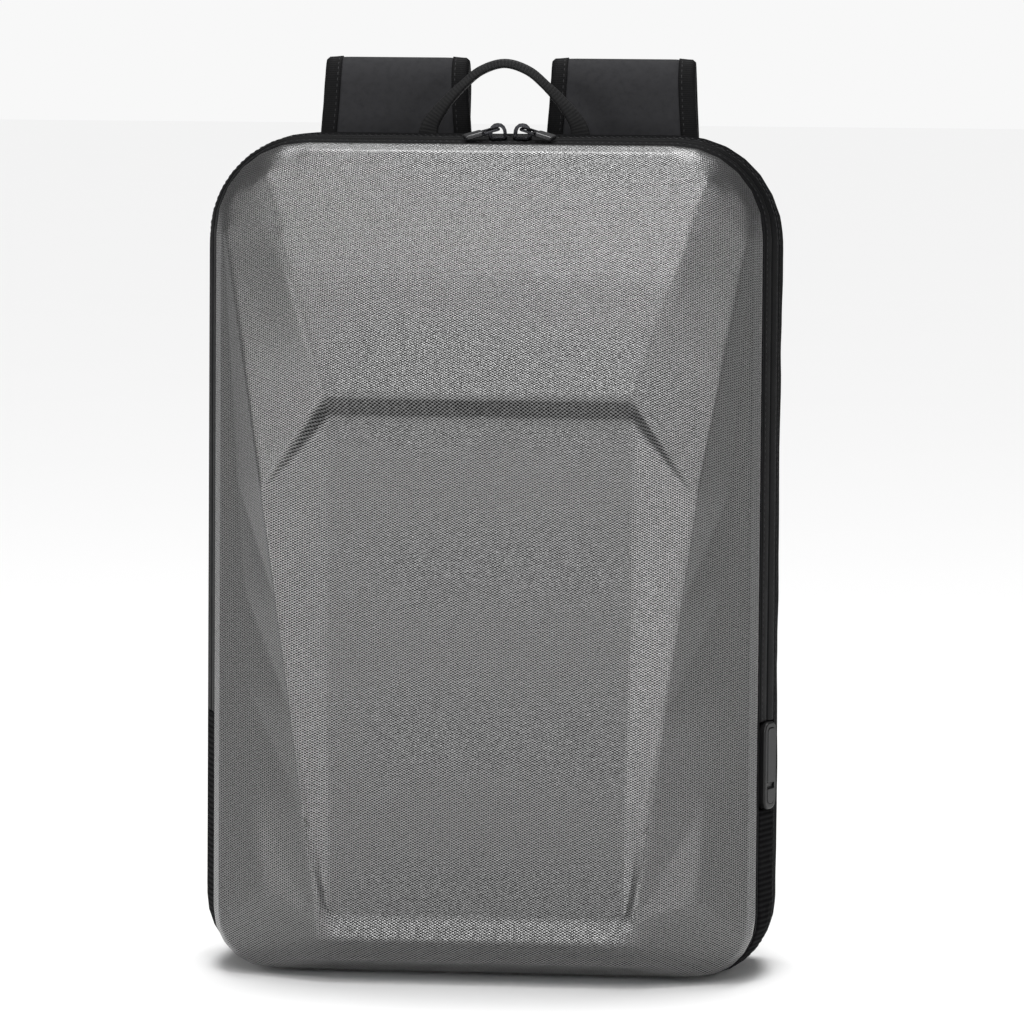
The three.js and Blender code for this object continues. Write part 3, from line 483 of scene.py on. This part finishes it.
def sweep(sections, closed=False):
    """Draws the first row of points, then extrudes it from row to row. It notes how far along and
    across each point lies, for patterns that follow the piece."""
    bm = bmesh.new()
    along_layer = bm.verts.layers.float.new("along")
    across_layer = bm.verts.layers.float.new("across")
    row = [bm.verts.new(point) for point in sections[0]]
    edges = [bm.edges.new((a, b)) for a, b in zip(row, row[1:] + row[:1])]
    start, gone = list(edges), 0.0
    for number, points in enumerate(sections):
        if number:
            made = bmesh.ops.extrude_edge_only(bm, edges=edges)["geom"]
            fresh = {item for item in made if isinstance(item, bmesh.types.BMVert)}
            row = [next(e.other_vert(v) for e in v.link_edges if e.other_vert(v) in fresh) for v in row]
            edges = [bm.edges.get((a, b)) for a, b in zip(row, row[1:] + row[:1])]
            middle = [sum(rows, Vector()) / len(rows) for rows in (sections[number - 1], points)]
            gone += (middle[1] - middle[0]).length
        over, last = 0.0, points[0]
        for vert, point in zip(row, points):
            vert.co = point
            over += (Vector(point) - Vector(last)).length
            last = point
            vert[along_layer], vert[across_layer] = gone, over
    if closed:
        bmesh.ops.bridge_loops(bm, edges=edges + start)
    else:
        bmesh.ops.contextual_create(bm, geom=start)
        bmesh.ops.contextual_create(bm, geom=edges)
    return bm


def around(back, sunk=0.0, over_top=False):
    """Places round the body at a depth behind the shell's rim, each with its outward direction.
    Over the top, it runs from the zip's end on the right to its end on the left."""
    depth = min(max(back / BODY_DEPTH, 0), 1)
    high = next(i for i, row in enumerate(BODY_ROWS) if i and row.back >= depth)
    low, top_row = BODY_ROWS[high - 1], BODY_ROWS[high]
    way = (depth - low.back) / (top_row.back - low.back)
    bulge = [a + (b - a) * way for a, b in zip(low, top_row)]
    side = (BODY_HALF - SHELL_HALF) * bulge[1]
    half = SHELL_HALF + side - sunk
    top = SHELL_TOP + (BODY_TOP - SHELL_TOP) * bulge[2] - sunk
    bottom = SHELL_FLOOR * (1 - bulge[3]) + sunk
    y = RIM_Y + back
    places = []
    for quarter, (sx, sz) in enumerate(((1, 1), (-1, 1), (-1, -1), (1, -1))):
        radius = (TOP_RADIUS if sz > 0 else BOTTOM_RADIUS) + side - sunk
        centre = Vector((sx * (half - radius), y, top - radius if sz > 0 else bottom + radius))
        for step in range(13):
            angle = (quarter + step / 12) * math.pi / 2
            out = Vector((math.cos(angle), 0, math.sin(angle)))
            places.append((centre + out * radius, out))
    if not over_top:
        return places
    return [(Vector((half, y, ZIP_END)), ACROSS)] + places[:26] + [(Vector((-half, y, ZIP_END)), -ACROSS)]


def steps_along(places, pitch):
    """Even steps down a run of places: the place, its direction and its outward direction."""
    gone = pitch / 2
    for (a, a_out), (b, b_out) in zip(places, places[1:]):
        length = (b - a).length
        while gone < length:
            part = gone / length
            yield a.lerp(b, part), (b - a).normalized(), a_out.lerp(b_out, part).normalized()
            gone += pitch
        gone -= length


def stitches(bm, places, lift=0.0):
    """Sews a row of stitches along a run of places."""
    props = bpy.context.scene.backpack_cloth
    for place, way, out in steps_along(places, props.stitch_pitch):
        side = way.cross(out).normalized()
        thick = props.stitch_width / 2
        columns = (way * props.stitch_length / 2, side * thick, out * thick * 0.8)
        turned = Matrix(columns).transposed().to_4x4()
        bmesh.ops.create_icosphere(bm, subdivisions=1, radius=1,
                                   matrix=Matrix.Translation(place + out * lift) @ turned)


def cord_ring(places, radius, sides=10):
    """Sections of a round cord laid along a run of places."""
    turn = 2 * math.pi / sides
    return [[place + out * radius * math.cos(k * turn) + BACK * radius * math.sin(k * turn)
             for k in range(sides)] for place, out in places]


def curve_through(points, steps):
    """A smooth line through points, paced by the root of their spacing."""
    made = []
    last = len(points) - 1
    for step in range(steps + 1):
        place = step / steps * last
        low = min(int(place), last - 1)
        way = place - low
        b, c = points[low], points[low + 1]
        a = points[low - 1] if low else b * 2 - c
        d = points[low + 2] if low + 2 <= last else c * 2 - b
        ab, bc, cd = [max((q - p).length ** 0.5, 1e-4) for p, q in ((a, b), (b, c), (c, d))]
        leave = ((b - a) / ab - (c - a) / (ab + bc) + (c - b) / bc) * bc
        reach = ((c - b) / bc - (d - b) / (bc + cd) + (d - c) / cd) * bc
        made.append(
            b + leave * way + (c * 3 - b * 3 - leave * 2 - reach) * way ** 2
            + (b * 2 - c * 2 + leave + reach) * way ** 3
        )
    return made


def column(rows, name, place):
    """A table's column at a place between its rows."""
    low = min(int(place), len(rows) - 2)
    a, b = getattr(rows[low], name), getattr(rows[low + 1], name)
    return a + (b - a) * (place - low)


def side_name(side):
    """The word for a side, from the sign of its X."""
    return "right" if side > 0 else "left"


# Shell and its rim

class BACKPACK_OT_shell(bpy.types.Operator):
    """Forms the shell's facets with softly rolled creases"""
    bl_idname = "backpack.shell"
    bl_label = "Formed shell"

    def execute(self, context):
        props = context.scene.backpack_shell
        bm = solid_copy("front_shell")
        middle = Vector((0, RIM_Y, (SHELL_TOP + SHELL_FLOOR) / 2))
        finer(bm, props.facet_grid, lambda face: face.normal.dot(face.calc_center_median() - middle) > 0)
        # the panels are drawn smooth between their creases first, and then the creases are rolled
        flat = [edge for edge in bm.edges if edge.is_manifold and edge.calc_face_angle() < FLAT_TURN]
        bmesh.ops.beautify_fill(bm, faces=bm.faces, edges=flat)
        creased = {vert for edge in bm.edges for vert in edge.verts
                   if not edge.is_manifold or edge.calc_face_angle() > props.crease}
        soften(bm, PANEL_PASSES, [vert for vert in bm.verts if vert not in creased])
        # the creases fade out towards the two top corners
        faded = [vert for vert in bm.verts if vert.co.y < RIM_Y - CORNER_DEPTH
                 and vert.co.z > SHELL_TOP - TOP_RADIUS and abs(vert.co.x) > SHELL_HALF - TOP_RADIUS]
        soften(bm, CORNER_PASSES, faded)
        soften(bm, 1)
        settle(bm, "formed_shell", shell_sheet(), ["front_shell"])
        return {"FINISHED"}


class BACKPACK_OT_rim(bpy.types.Operator):
    """Folds the binding tape round the shell's rim"""
    bl_idname = "backpack.rim"
    bl_label = "Rim binding"

    def execute(self, context):
        bm = solid_copy("shell_binding")
        eased(bm, 1.1 * MM)
        settle(bm, "rim_binding", rim_tape(), ["shell_binding"])
        return {"FINISHED"}


# Zip

class BACKPACK_OT_zip(bpy.types.Operator):
    """Lays the two zip tapes, their stitching, the coil and the two pulls"""
    bl_idname = "backpack.zip"
    bl_label = "Zip"

    def execute(self, context):
        for node in ("zip_tape_front", "zip_tape_back"):
            bm = solid_copy(node)
            eased(bm, 0.6 * MM)
            settle(bm, node.replace("zip_tape", "sewn_zip_tape"), zip_cloth(), [node])
        seams = bmesh.new()
        for back in (FRONT_SEAM, BACK_SEAM):
            stitches(seams, around(back, over_top=True))
        settle(seams, "zip_seams", thread())
        paint(zip_coil_nylon(), "zip_coil")
        for side in ("left", "right"):
            paint(plated_zinc(), f"zip_slider_{side}", f"zip_link_{side}")
            paint(pull_rubber(), f"zip_tab_{side}")
        return {"FINISHED"}


# Cloth body

class BACKPACK_OT_body(bpy.types.Operator):
    """Hangs the body cloth with a slight wave, its ribbed hinge and its seams"""
    bl_idname = "backpack.body"
    bl_label = "Cloth body"

    def execute(self, context):
        props = context.scene.backpack_cloth
        bm = solid_copy("gusset")
        finer(bm, 9 * MM)
        soften(bm, 1)
        for vert in bm.verts:
            share_back = (vert.co.y - RIM_Y) / BODY_DEPTH
            free = max(0.0, math.sin(math.pi * min(max((share_back - 0.24) / 0.76, 0), 1)))
            outwards = Vector((vert.co.x / BODY_HALF, 0, 0)) + UP * ((vert.co.z / BODY_TOP - 0.5) * 0.6)
            wave = noise.noise(vert.co * 22) * 0.7 + noise.noise(vert.co * 55) * 0.3
            if vert.co.z > 6 * MM:
                vert.co += outwards * wave * free * props.cloth_sag * 2
        settle(bm, "body_cloth", body_cloth(), ["gusset"])
        hinge = solid_copy("hinge_strip")
        finer(hinge, 6 * MM)
        settle(hinge, "ribbed_hinge", ribbed_cloth(), ["hinge_strip"])
        rear = sweep(cord_ring(around(BODY_DEPTH - 1.2 * MM, sunk=1.5 * MM), props.piping), closed=True)
        settle(rear, "rear_piping", binding_tape())
        seams = bmesh.new()
        for back in (GUSSET_FRONT + 2.5 * MM, BODY_DEPTH - 5 * MM):
            run = around(back)
            stitches(seams, run + run[:1], lift=-0.1 * MM)
        settle(seams, "body_seams", thread())
        return {"FINISHED"}


# Back panel

def channel(distance, half_width):
    """1 in the middle of a sewn channel, falling softly to 0 at its edges."""
    return max(0.0, math.cos(min(abs(distance) / half_width, 1) * math.pi / 2)) ** 2


class BACKPACK_OT_back_panel(bpy.types.Operator):
    """Pads the back panel, with a middle air channel and sewn cross channels"""
    bl_idname = "backpack.back_panel"
    bl_label = "Back panel"

    def execute(self, context):
        props = context.scene.backpack_cloth
        low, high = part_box("back_panel")
        bm = solid_copy("back_panel")
        finer(bm, 6 * MM)
        face = [vert for vert in bm.verts if vert.co.y > low.y + 6 * MM]
        for vert in face:
            x, z = vert.co.x, vert.co.z
            edge = min(high.x - abs(x), high.z - z, z - low.z)
            sunk = channel(x, 24 * MM)
            for level in CHANNEL_LEVELS:
                sunk = max(sunk, 0.75 * channel(z - level, 11 * MM) * min(1, abs(x) / (24 * MM)))
            sunk = max(sunk, 0.8 * channel(edge, 16 * MM))
            vert.co.y -= props.groove * sunk
        soften(bm, 2, face)
        pad = settle(bm, "padded_back", air_mesh(), ["back_panel"])
        return {"FINISHED"}


# Straps

Station = namedtuple("Station", "at out way half thick")


def strap_stations(side, count=96):
    """The strap's sections, from its seam on the back panel over the fold to its lower end."""
    reach = STRAP_TOP - STRAP_FOLD_THICKNESS / 2 - STRAP_END
    middle = STRAP_INNER_EDGE + STRAP_WIDTH / 2
    points = [Vector((
        side * (middle + row.splay * STRAP_SPLAY),
        PANEL_BACK + row.out * STRAP_STAND_OFF,
        STRAP_END + row.up * reach,
    )) for row in STRAP_ROWS]
    line = curve_through(points, count)
    stations = []
    for number, at in enumerate(line):
        way = (line[min(number + 1, count)] - line[max(number - 1, 0)]).normalized()
        place = number / count * (len(STRAP_ROWS) - 1)
        folded = column(STRAP_ROWS, "up", place) > 0.93
        stations.append(Station(
            at, ACROSS.cross(way).normalized(), way,
            STRAP_WIDTH * column(STRAP_ROWS, "width", place) / 2,
            (STRAP_FOLD_THICKNESS if folded else STRAP_THICKNESS) / 2,
        ))
    return stations


def strap_crown(across):
    """Half thickness of the strap at a place across it, as a share of the foam's."""
    rise = min(1.0, (1 - abs(across)) / 0.3)
    return 0.8 + 0.2 * rise * rise * (3 - 2 * rise)


def strap_edge(across):
    """The same, with the drop at the two edges that the binding folds round."""
    return 0.45 if abs(across) > 0.995 else strap_crown(across)


def strap_ring(station, shares, proud=0.0):
    """One section of the strap or of its binding."""
    return [
        station.at
        + ACROSS * (a * station.half + math.copysign(proud if abs(a) > 0.95 else 0, a))
        + station.out * (b * station.thick + math.copysign(proud, b))
        for a, b in shares
    ]


class BACKPACK_OT_straps(bpy.types.Operator):
    """Pads the two folded shoulder straps and binds and sews their edges"""
    bl_idname = "backpack.straps"
    bl_label = "Shoulder straps"

    def execute(self, context):
        props = context.scene.backpack_cloth
        for side in (-1, 1):
            name = side_name(side)
            stations = strap_stations(side)
            line = [-1 + i / 12 for i in range(25)]
            face = [(a, strap_edge(a)) for a in line] + [(a, -strap_edge(a)) for a in reversed(line)]
            strap = sweep([strap_ring(station, face) for station in stations])
            piece = settle(strap, f"padded_strap_{name}", strap_cloth(), [f"strap_{name}"])
            seams = bmesh.new()
            for edge in (-1, 1):
                rows = []
                for station in stations:
                    inner = 1 - props.binding_width / station.half
                    spread = [inner + (1 - inner) * k / 5 for k in range(6)]
                    upper = [(edge * a, strap_edge(a)) for a in spread]
                    lower = [(a, -b) for a, b in reversed(upper)]
                    rows.append(strap_ring(station, upper + lower, STRAP_BINDING_PROUD))
                binding = sweep(rows)
                settle(binding, f"strap_binding_{name}_{'outer' if edge == side else 'inner'}",
                       binding_tape())
                for face_side in (1, -1):
                    run = []
                    for station in stations[1:-1]:
                        a = edge * (1 - 0.78 * props.binding_width / station.half)
                        rise = face_side * (strap_crown(a) * station.thick + STRAP_SEAM_PROUD)
                        run.append((station.at + ACROSS * a * station.half + station.out * rise,
                                    station.out * face_side))
                    stitches(seams, run)
            settle(seams, f"strap_seams_{name}", thread())
        return {"FINISHED"}


# Strap fittings

def flat_run(points, width, thickness, steps=24):
    """Sections of flat webbing along a smooth line."""
    line = curve_through(points, steps)
    rows = []
    for number, at in enumerate(line):
        way = (line[min(number + 1, steps)] - line[max(number - 1, 0)]).normalized()
        out = ACROSS.cross(way).normalized()
        shares = ((1, 0.5), (1, -0.5), (0.96, -1), (0, -1), (-0.96, -1), (-1, -0.5),
                  (-1, 0.5), (-0.96, 1), (0, 1), (0.96, 1))
        rows.append([at + ACROSS * a * width / 2 + out * b * thickness / 2 for a, b in shares])
    return rows


class BACKPACK_OT_strap_fittings(bpy.types.Operator):
    """Runs the webbing from each strap through its adjuster to its anchor"""
    bl_idname = "backpack.strap_fittings"
    bl_label = "Strap webbing and anchors"

    def execute(self, context):
        for side in (-1, 1):
            name = side_name(side)
            low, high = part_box(f"strap_adjuster_{name}")
            middle = (low + high) / 2
            behind = middle.y - (high.y - low.y) / 2 - WEBBING_GAP - WEBBING_THICKNESS / 2
            a_low, a_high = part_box(f"strap_anchor_{name}")
            seat_x = (a_low.x + a_high.x) / 2
            seat_y = a_high.y + WEBBING_GAP + WEBBING_THICKNESS / 2
            leave = Vector((middle.x, behind, low.z))
            reach = Vector((seat_x, seat_y, a_low.z + ANCHOR_SEAM))
            points = [
                Vector((middle.x, behind, middle.z + 4 * MM)),
                leave,
                (leave + reach) / 2,
                reach,
                Vector((seat_x, seat_y, a_low.z + 10 * MM)),
            ]
            settle(sweep(flat_run(points, WEBBING_WIDTH, WEBBING_THICKNESS)), f"ribbed_webbing_{name}",
                   webbing_cloth(), [f"strap_webbing_{name}"])
            t_low, t_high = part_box(f"strap_tab_{name}")
            t_mid = (t_low + t_high) / 2
            tab = [Vector((t_mid.x, t_mid.y, z)) for z in (t_high.z, t_mid.z, t_low.z)]
            settle(sweep(flat_run(tab, WEBBING_WIDTH, WEBBING_THICKNESS, 6)), f"sewn_tab_{name}",
                   webbing_cloth(), [f"strap_tab_{name}"])
            anchor = solid_copy(f"strap_anchor_{name}")
            eased(anchor, 0.4 * MM, 60)
            settle(anchor, f"sewn_anchor_{name}", body_cloth(), [f"strap_anchor_{name}"])
            seams = bmesh.new()
            corners = [(-0.36, 0.12), (0.36, 0.12), (0.3, 0.42), (-0.3, 0.42)]
            wide, tall = a_high.x - a_low.x, a_high.z - a_low.z
            face_y, seam_z = seat_y + WEBBING_THICKNESS / 2, a_low.z + 0.25 * tall
            places = [(Vector((seat_x + x * wide, face_y, seam_z + z * tall)), BACK) for x, z in corners]
            for a, b in ((0, 1), (1, 2), (2, 3), (3, 0), (0, 2), (1, 3)):
                stitches(seams, [places[a], places[b]])
            settle(seams, f"anchor_seams_{name}", thread())
            paint(moulded_plastic(), f"strap_adjuster_{name}")
        return {"FINISHED"}


# Handle

class BACKPACK_OT_handle(bpy.types.Operator):
    """Bends the folded webbing of the handle from foot to foot"""
    bl_idname = "backpack.handle"
    bl_label = "Top handle"

    def execute(self, context):
        low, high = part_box("top_handle")
        y = (low.y + high.y) / 2
        rows = [*ARCH_ROWS, *reversed(ARCH_ROWS[:-1])]
        half = len(ARCH_ROWS) - 1
        sides = [-1] * half + [0] + [1] * half
        points = [Vector((side * row.across * HANDLE_SPAN / 2, y, low.z + row.up * HANDLE_RISE))
                  for side, row in zip(sides, rows)]
        count = 72
        line = curve_through(points, count)
        sections = []
        for number, at in enumerate(line):
            way = (line[min(number + 1, count)] - line[max(number - 1, 0)]).normalized()
            if number in (0, count):
                way = UP if number == 0 else -UP
            out = BACK.cross(way).normalized()
            flat = column(rows, "flat", number / count * (len(rows) - 1))
            tall = (HANDLE_GRIP_TALL + (HANDLE_FOOT_TALL - HANDLE_GRIP_TALL) * flat) / 2
            deep = (HANDLE_GRIP_DEEP + (HANDLE_FOOT_DEEP - HANDLE_GRIP_DEEP) * flat) / 2
            ring = []
            for k in range(20):
                angle = 2 * math.pi * (k + 0.5) / 20
                u, v = math.cos(angle), math.sin(angle)
                u, v = math.copysign(abs(u) ** 0.5, u), math.copysign(abs(v) ** 0.5, v)
                ring.append(at + out * tall * u + BACK * deep * v)
            sections.append(ring)
        settle(sweep(sections), "folded_handle", webbing_cloth(), ["top_handle"])
        return {"FINISHED"}


# Port

class BACKPACK_OT_port(bpy.types.Operator):
    """Finishes the moulded port on the right side"""
    bl_idname = "backpack.port"
    bl_label = "Side port"

    def execute(self, context):
        paint(moulded_plastic(), "side_port_housing", "side_port_cover")
        return {"FINISHED"}


# Stage

def soft_light(name, watts, place, width, height):
    """An oblong area light that looks at the bag."""
    data = bpy.data.lights.new(name, "AREA")
    data.energy = watts
    data.shape = "RECTANGLE"
    data.size, data.size_y = width, height
    lamp = bpy.data.objects.new(name, data)
    bpy.context.scene.collection.objects.link(lamp)
    lamp.location = place
    lamp.rotation_mode = "QUATERNION"
    lamp.rotation_quaternion = (Vector(AIM) - Vector(place)).to_track_quat("-Z", "Y")


# Where the soft lights hang, their width and their height
AIM = (0, 0, 0.25)
KEY = ((0.12, -2.16, 1.26), 0.9, 0.6)
CROWN = ((0.05, -1.36, 2.22), 0.9, 0.6)
SIDE_LIGHT = (Vector((1.33, -2.0, 0.42)), 0.7, 0.6)
WING_LIGHT = (Vector((1.75, -1.3, 1.2)), 0.5, 0.6)
SUN_SPREAD, SUN_TILT = math.radians(34), math.radians(-14)

# The camera, from places measured in the photograph. Its focal length is in pixels.
FOCAL, PICTURE, SENSOR = 6003, 1024, 36
CAMERA_AT = (0.3255, -3.2848, 0.5160)
YAW, PITCH, ROLL = math.radians(5.5), math.radians(-4.58), math.radians(0.457)


class BACKPACK_OT_stage(bpy.types.Operator):
    """Sets the pale floor, the soft lights and the camera"""
    bl_idname = "backpack.stage"
    bl_label = "Stage"

    def execute(self, context):
        scene, props = context.scene, context.scene.backpack_stage
        bm = bmesh.new()
        bmesh.ops.create_grid(bm, x_segments=1, y_segments=1, size=30)
        mesh = bpy.data.meshes.new("floor")
        bm.to_mesh(mesh)
        bm.free()
        floor = bpy.data.objects.new("floor", mesh)
        scene.collection.objects.link(floor)
        # painted board: pale and dull, so that it only catches a soft shadow
        finish = Finish(props.floor, props.floor, 0.9, 0, 0.2, "grain", (0, 0), 0.001, 3)
        mesh.materials.append(surface("painted_board", finish))
        floor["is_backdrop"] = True
        world = bpy.data.worlds.new("studio")
        world.use_nodes = True
        tree = world.node_tree
        tree.nodes.clear()
        # a white sweep behind the bag, which lights it far less than it shows
        glow = add_node(tree, "ShaderNodeBackground", {"Color": linear("#ffffff"), "Strength": props.glow})
        sweep_white = add_node(tree, "ShaderNodeBackground", {"Color": linear("#f8f8f8"), "Strength": 1.0})
        seen = add_node(tree, "ShaderNodeLightPath").outputs["Is Camera Ray"]
        both = add_node(tree, "ShaderNodeMixShader", {0: seen, 1: glow.outputs[0], 2: sweep_white.outputs[0]})
        add_node(tree, "ShaderNodeOutputWorld", {"Surface": both.outputs[0]})
        scene.world = world
        scene.view_settings.view_transform = "Standard"
        soft_light("key", props.key, *KEY)
        soft_light("crown", props.crown, *CROWN)
        for side in (-1, 1):
            # the left lights are a little stronger than the right ones
            mirror = Vector((side, 1, 1))
            for name, watts, favour, (place, width, height) in (
                ("side", props.sides, 0.12, SIDE_LIGHT), ("wing", props.wings, 0.2, WING_LIGHT),
            ):
                soft_light(f"{name}_{side_name(side)}", watts * (1 - favour * side), place * mirror,
                           width, height)
        overhead = bpy.data.lights.new("overhead", "SUN")
        overhead.energy = props.top
        overhead.angle = SUN_SPREAD
        lamp = bpy.data.objects.new("overhead", overhead)
        scene.collection.objects.link(lamp)
        lamp.rotation_euler = (SUN_TILT, 0, 0)
        data = bpy.data.cameras.new("photo_view")
        data.sensor_width = SENSOR
        data.lens = FOCAL / PICTURE * SENSOR
        data.clip_start, data.clip_end = 0.1, 60
        camera = bpy.data.objects.new("photo_view", data)
        scene.collection.objects.link(camera)
        ahead = Vector((-math.sin(YAW) * math.cos(PITCH), math.cos(YAW) * math.cos(PITCH), math.sin(PITCH)))
        right = Vector((math.cos(YAW), math.sin(YAW), 0))
        above = right.cross(ahead)
        turned_right = right * math.cos(ROLL) + above * math.sin(ROLL)
        turned_up = above * math.cos(ROLL) - right * math.sin(ROLL)
        turned = Matrix((turned_right, turned_up, -ahead)).transposed().to_4x4()
        camera.matrix_world = Matrix.Translation(CAMERA_AT) @ turned
        scene.camera = camera
        return {"FINISHED"}


PIECES = (
    BACKPACK_OT_shell, BACKPACK_OT_rim, BACKPACK_OT_zip, BACKPACK_OT_body, BACKPACK_OT_back_panel,
    BACKPACK_OT_straps, BACKPACK_OT_strap_fittings, BACKPACK_OT_handle, BACKPACK_OT_port, BACKPACK_OT_stage,
)


class BACKPACK_PT_looks(bpy.types.Panel):
    """Lists the bag's pieces and their sizes."""
    bl_idname = "BACKPACK_PT_looks"
    bl_label = "Hard shell backpack"
    bl_space_type = "VIEW_3D"
    bl_region_type = "UI"
    bl_category = "Backpack"

    def draw(self, context):
        for name in GROUPS:
            box = self.layout.box()
            group = getattr(context.scene, name)
            for key in group.__annotations__:
                box.prop(group, key)
        for piece in PIECES:
            self.layout.operator(piece.bl_idname)


GROUPS = {"backpack_shell": BackpackShell, "backpack_cloth": BackpackCloth, "backpack_stage": BackpackStage}


def register():
    for group in GROUPS.values():
        bpy.utils.register_class(group)
    for piece in PIECES:
        bpy.utils.register_class(piece)
    bpy.utils.register_class(BACKPACK_PT_looks)
    for name, group in GROUPS.items():
        setattr(bpy.types.Scene, name, PointerProperty(type=group))


def unregister():
    for name in GROUPS:
        delattr(bpy.types.Scene, name)
    bpy.utils.unregister_class(BACKPACK_PT_looks)
    for made in (*reversed(PIECES), *GROUPS.values()):
        bpy.utils.unregister_class(made)


def main():
    register()
    for piece in PIECES:
        group, operator = piece.bl_idname.split(".")
        getattr(getattr(bpy.ops, group), operator)()
    boxes = {"cad": CAD_BOX, "visual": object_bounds()}
    {name: [list(corner) for corner in box] for name, box in boxes.items()}


if __name__ == "__main__":
    main()
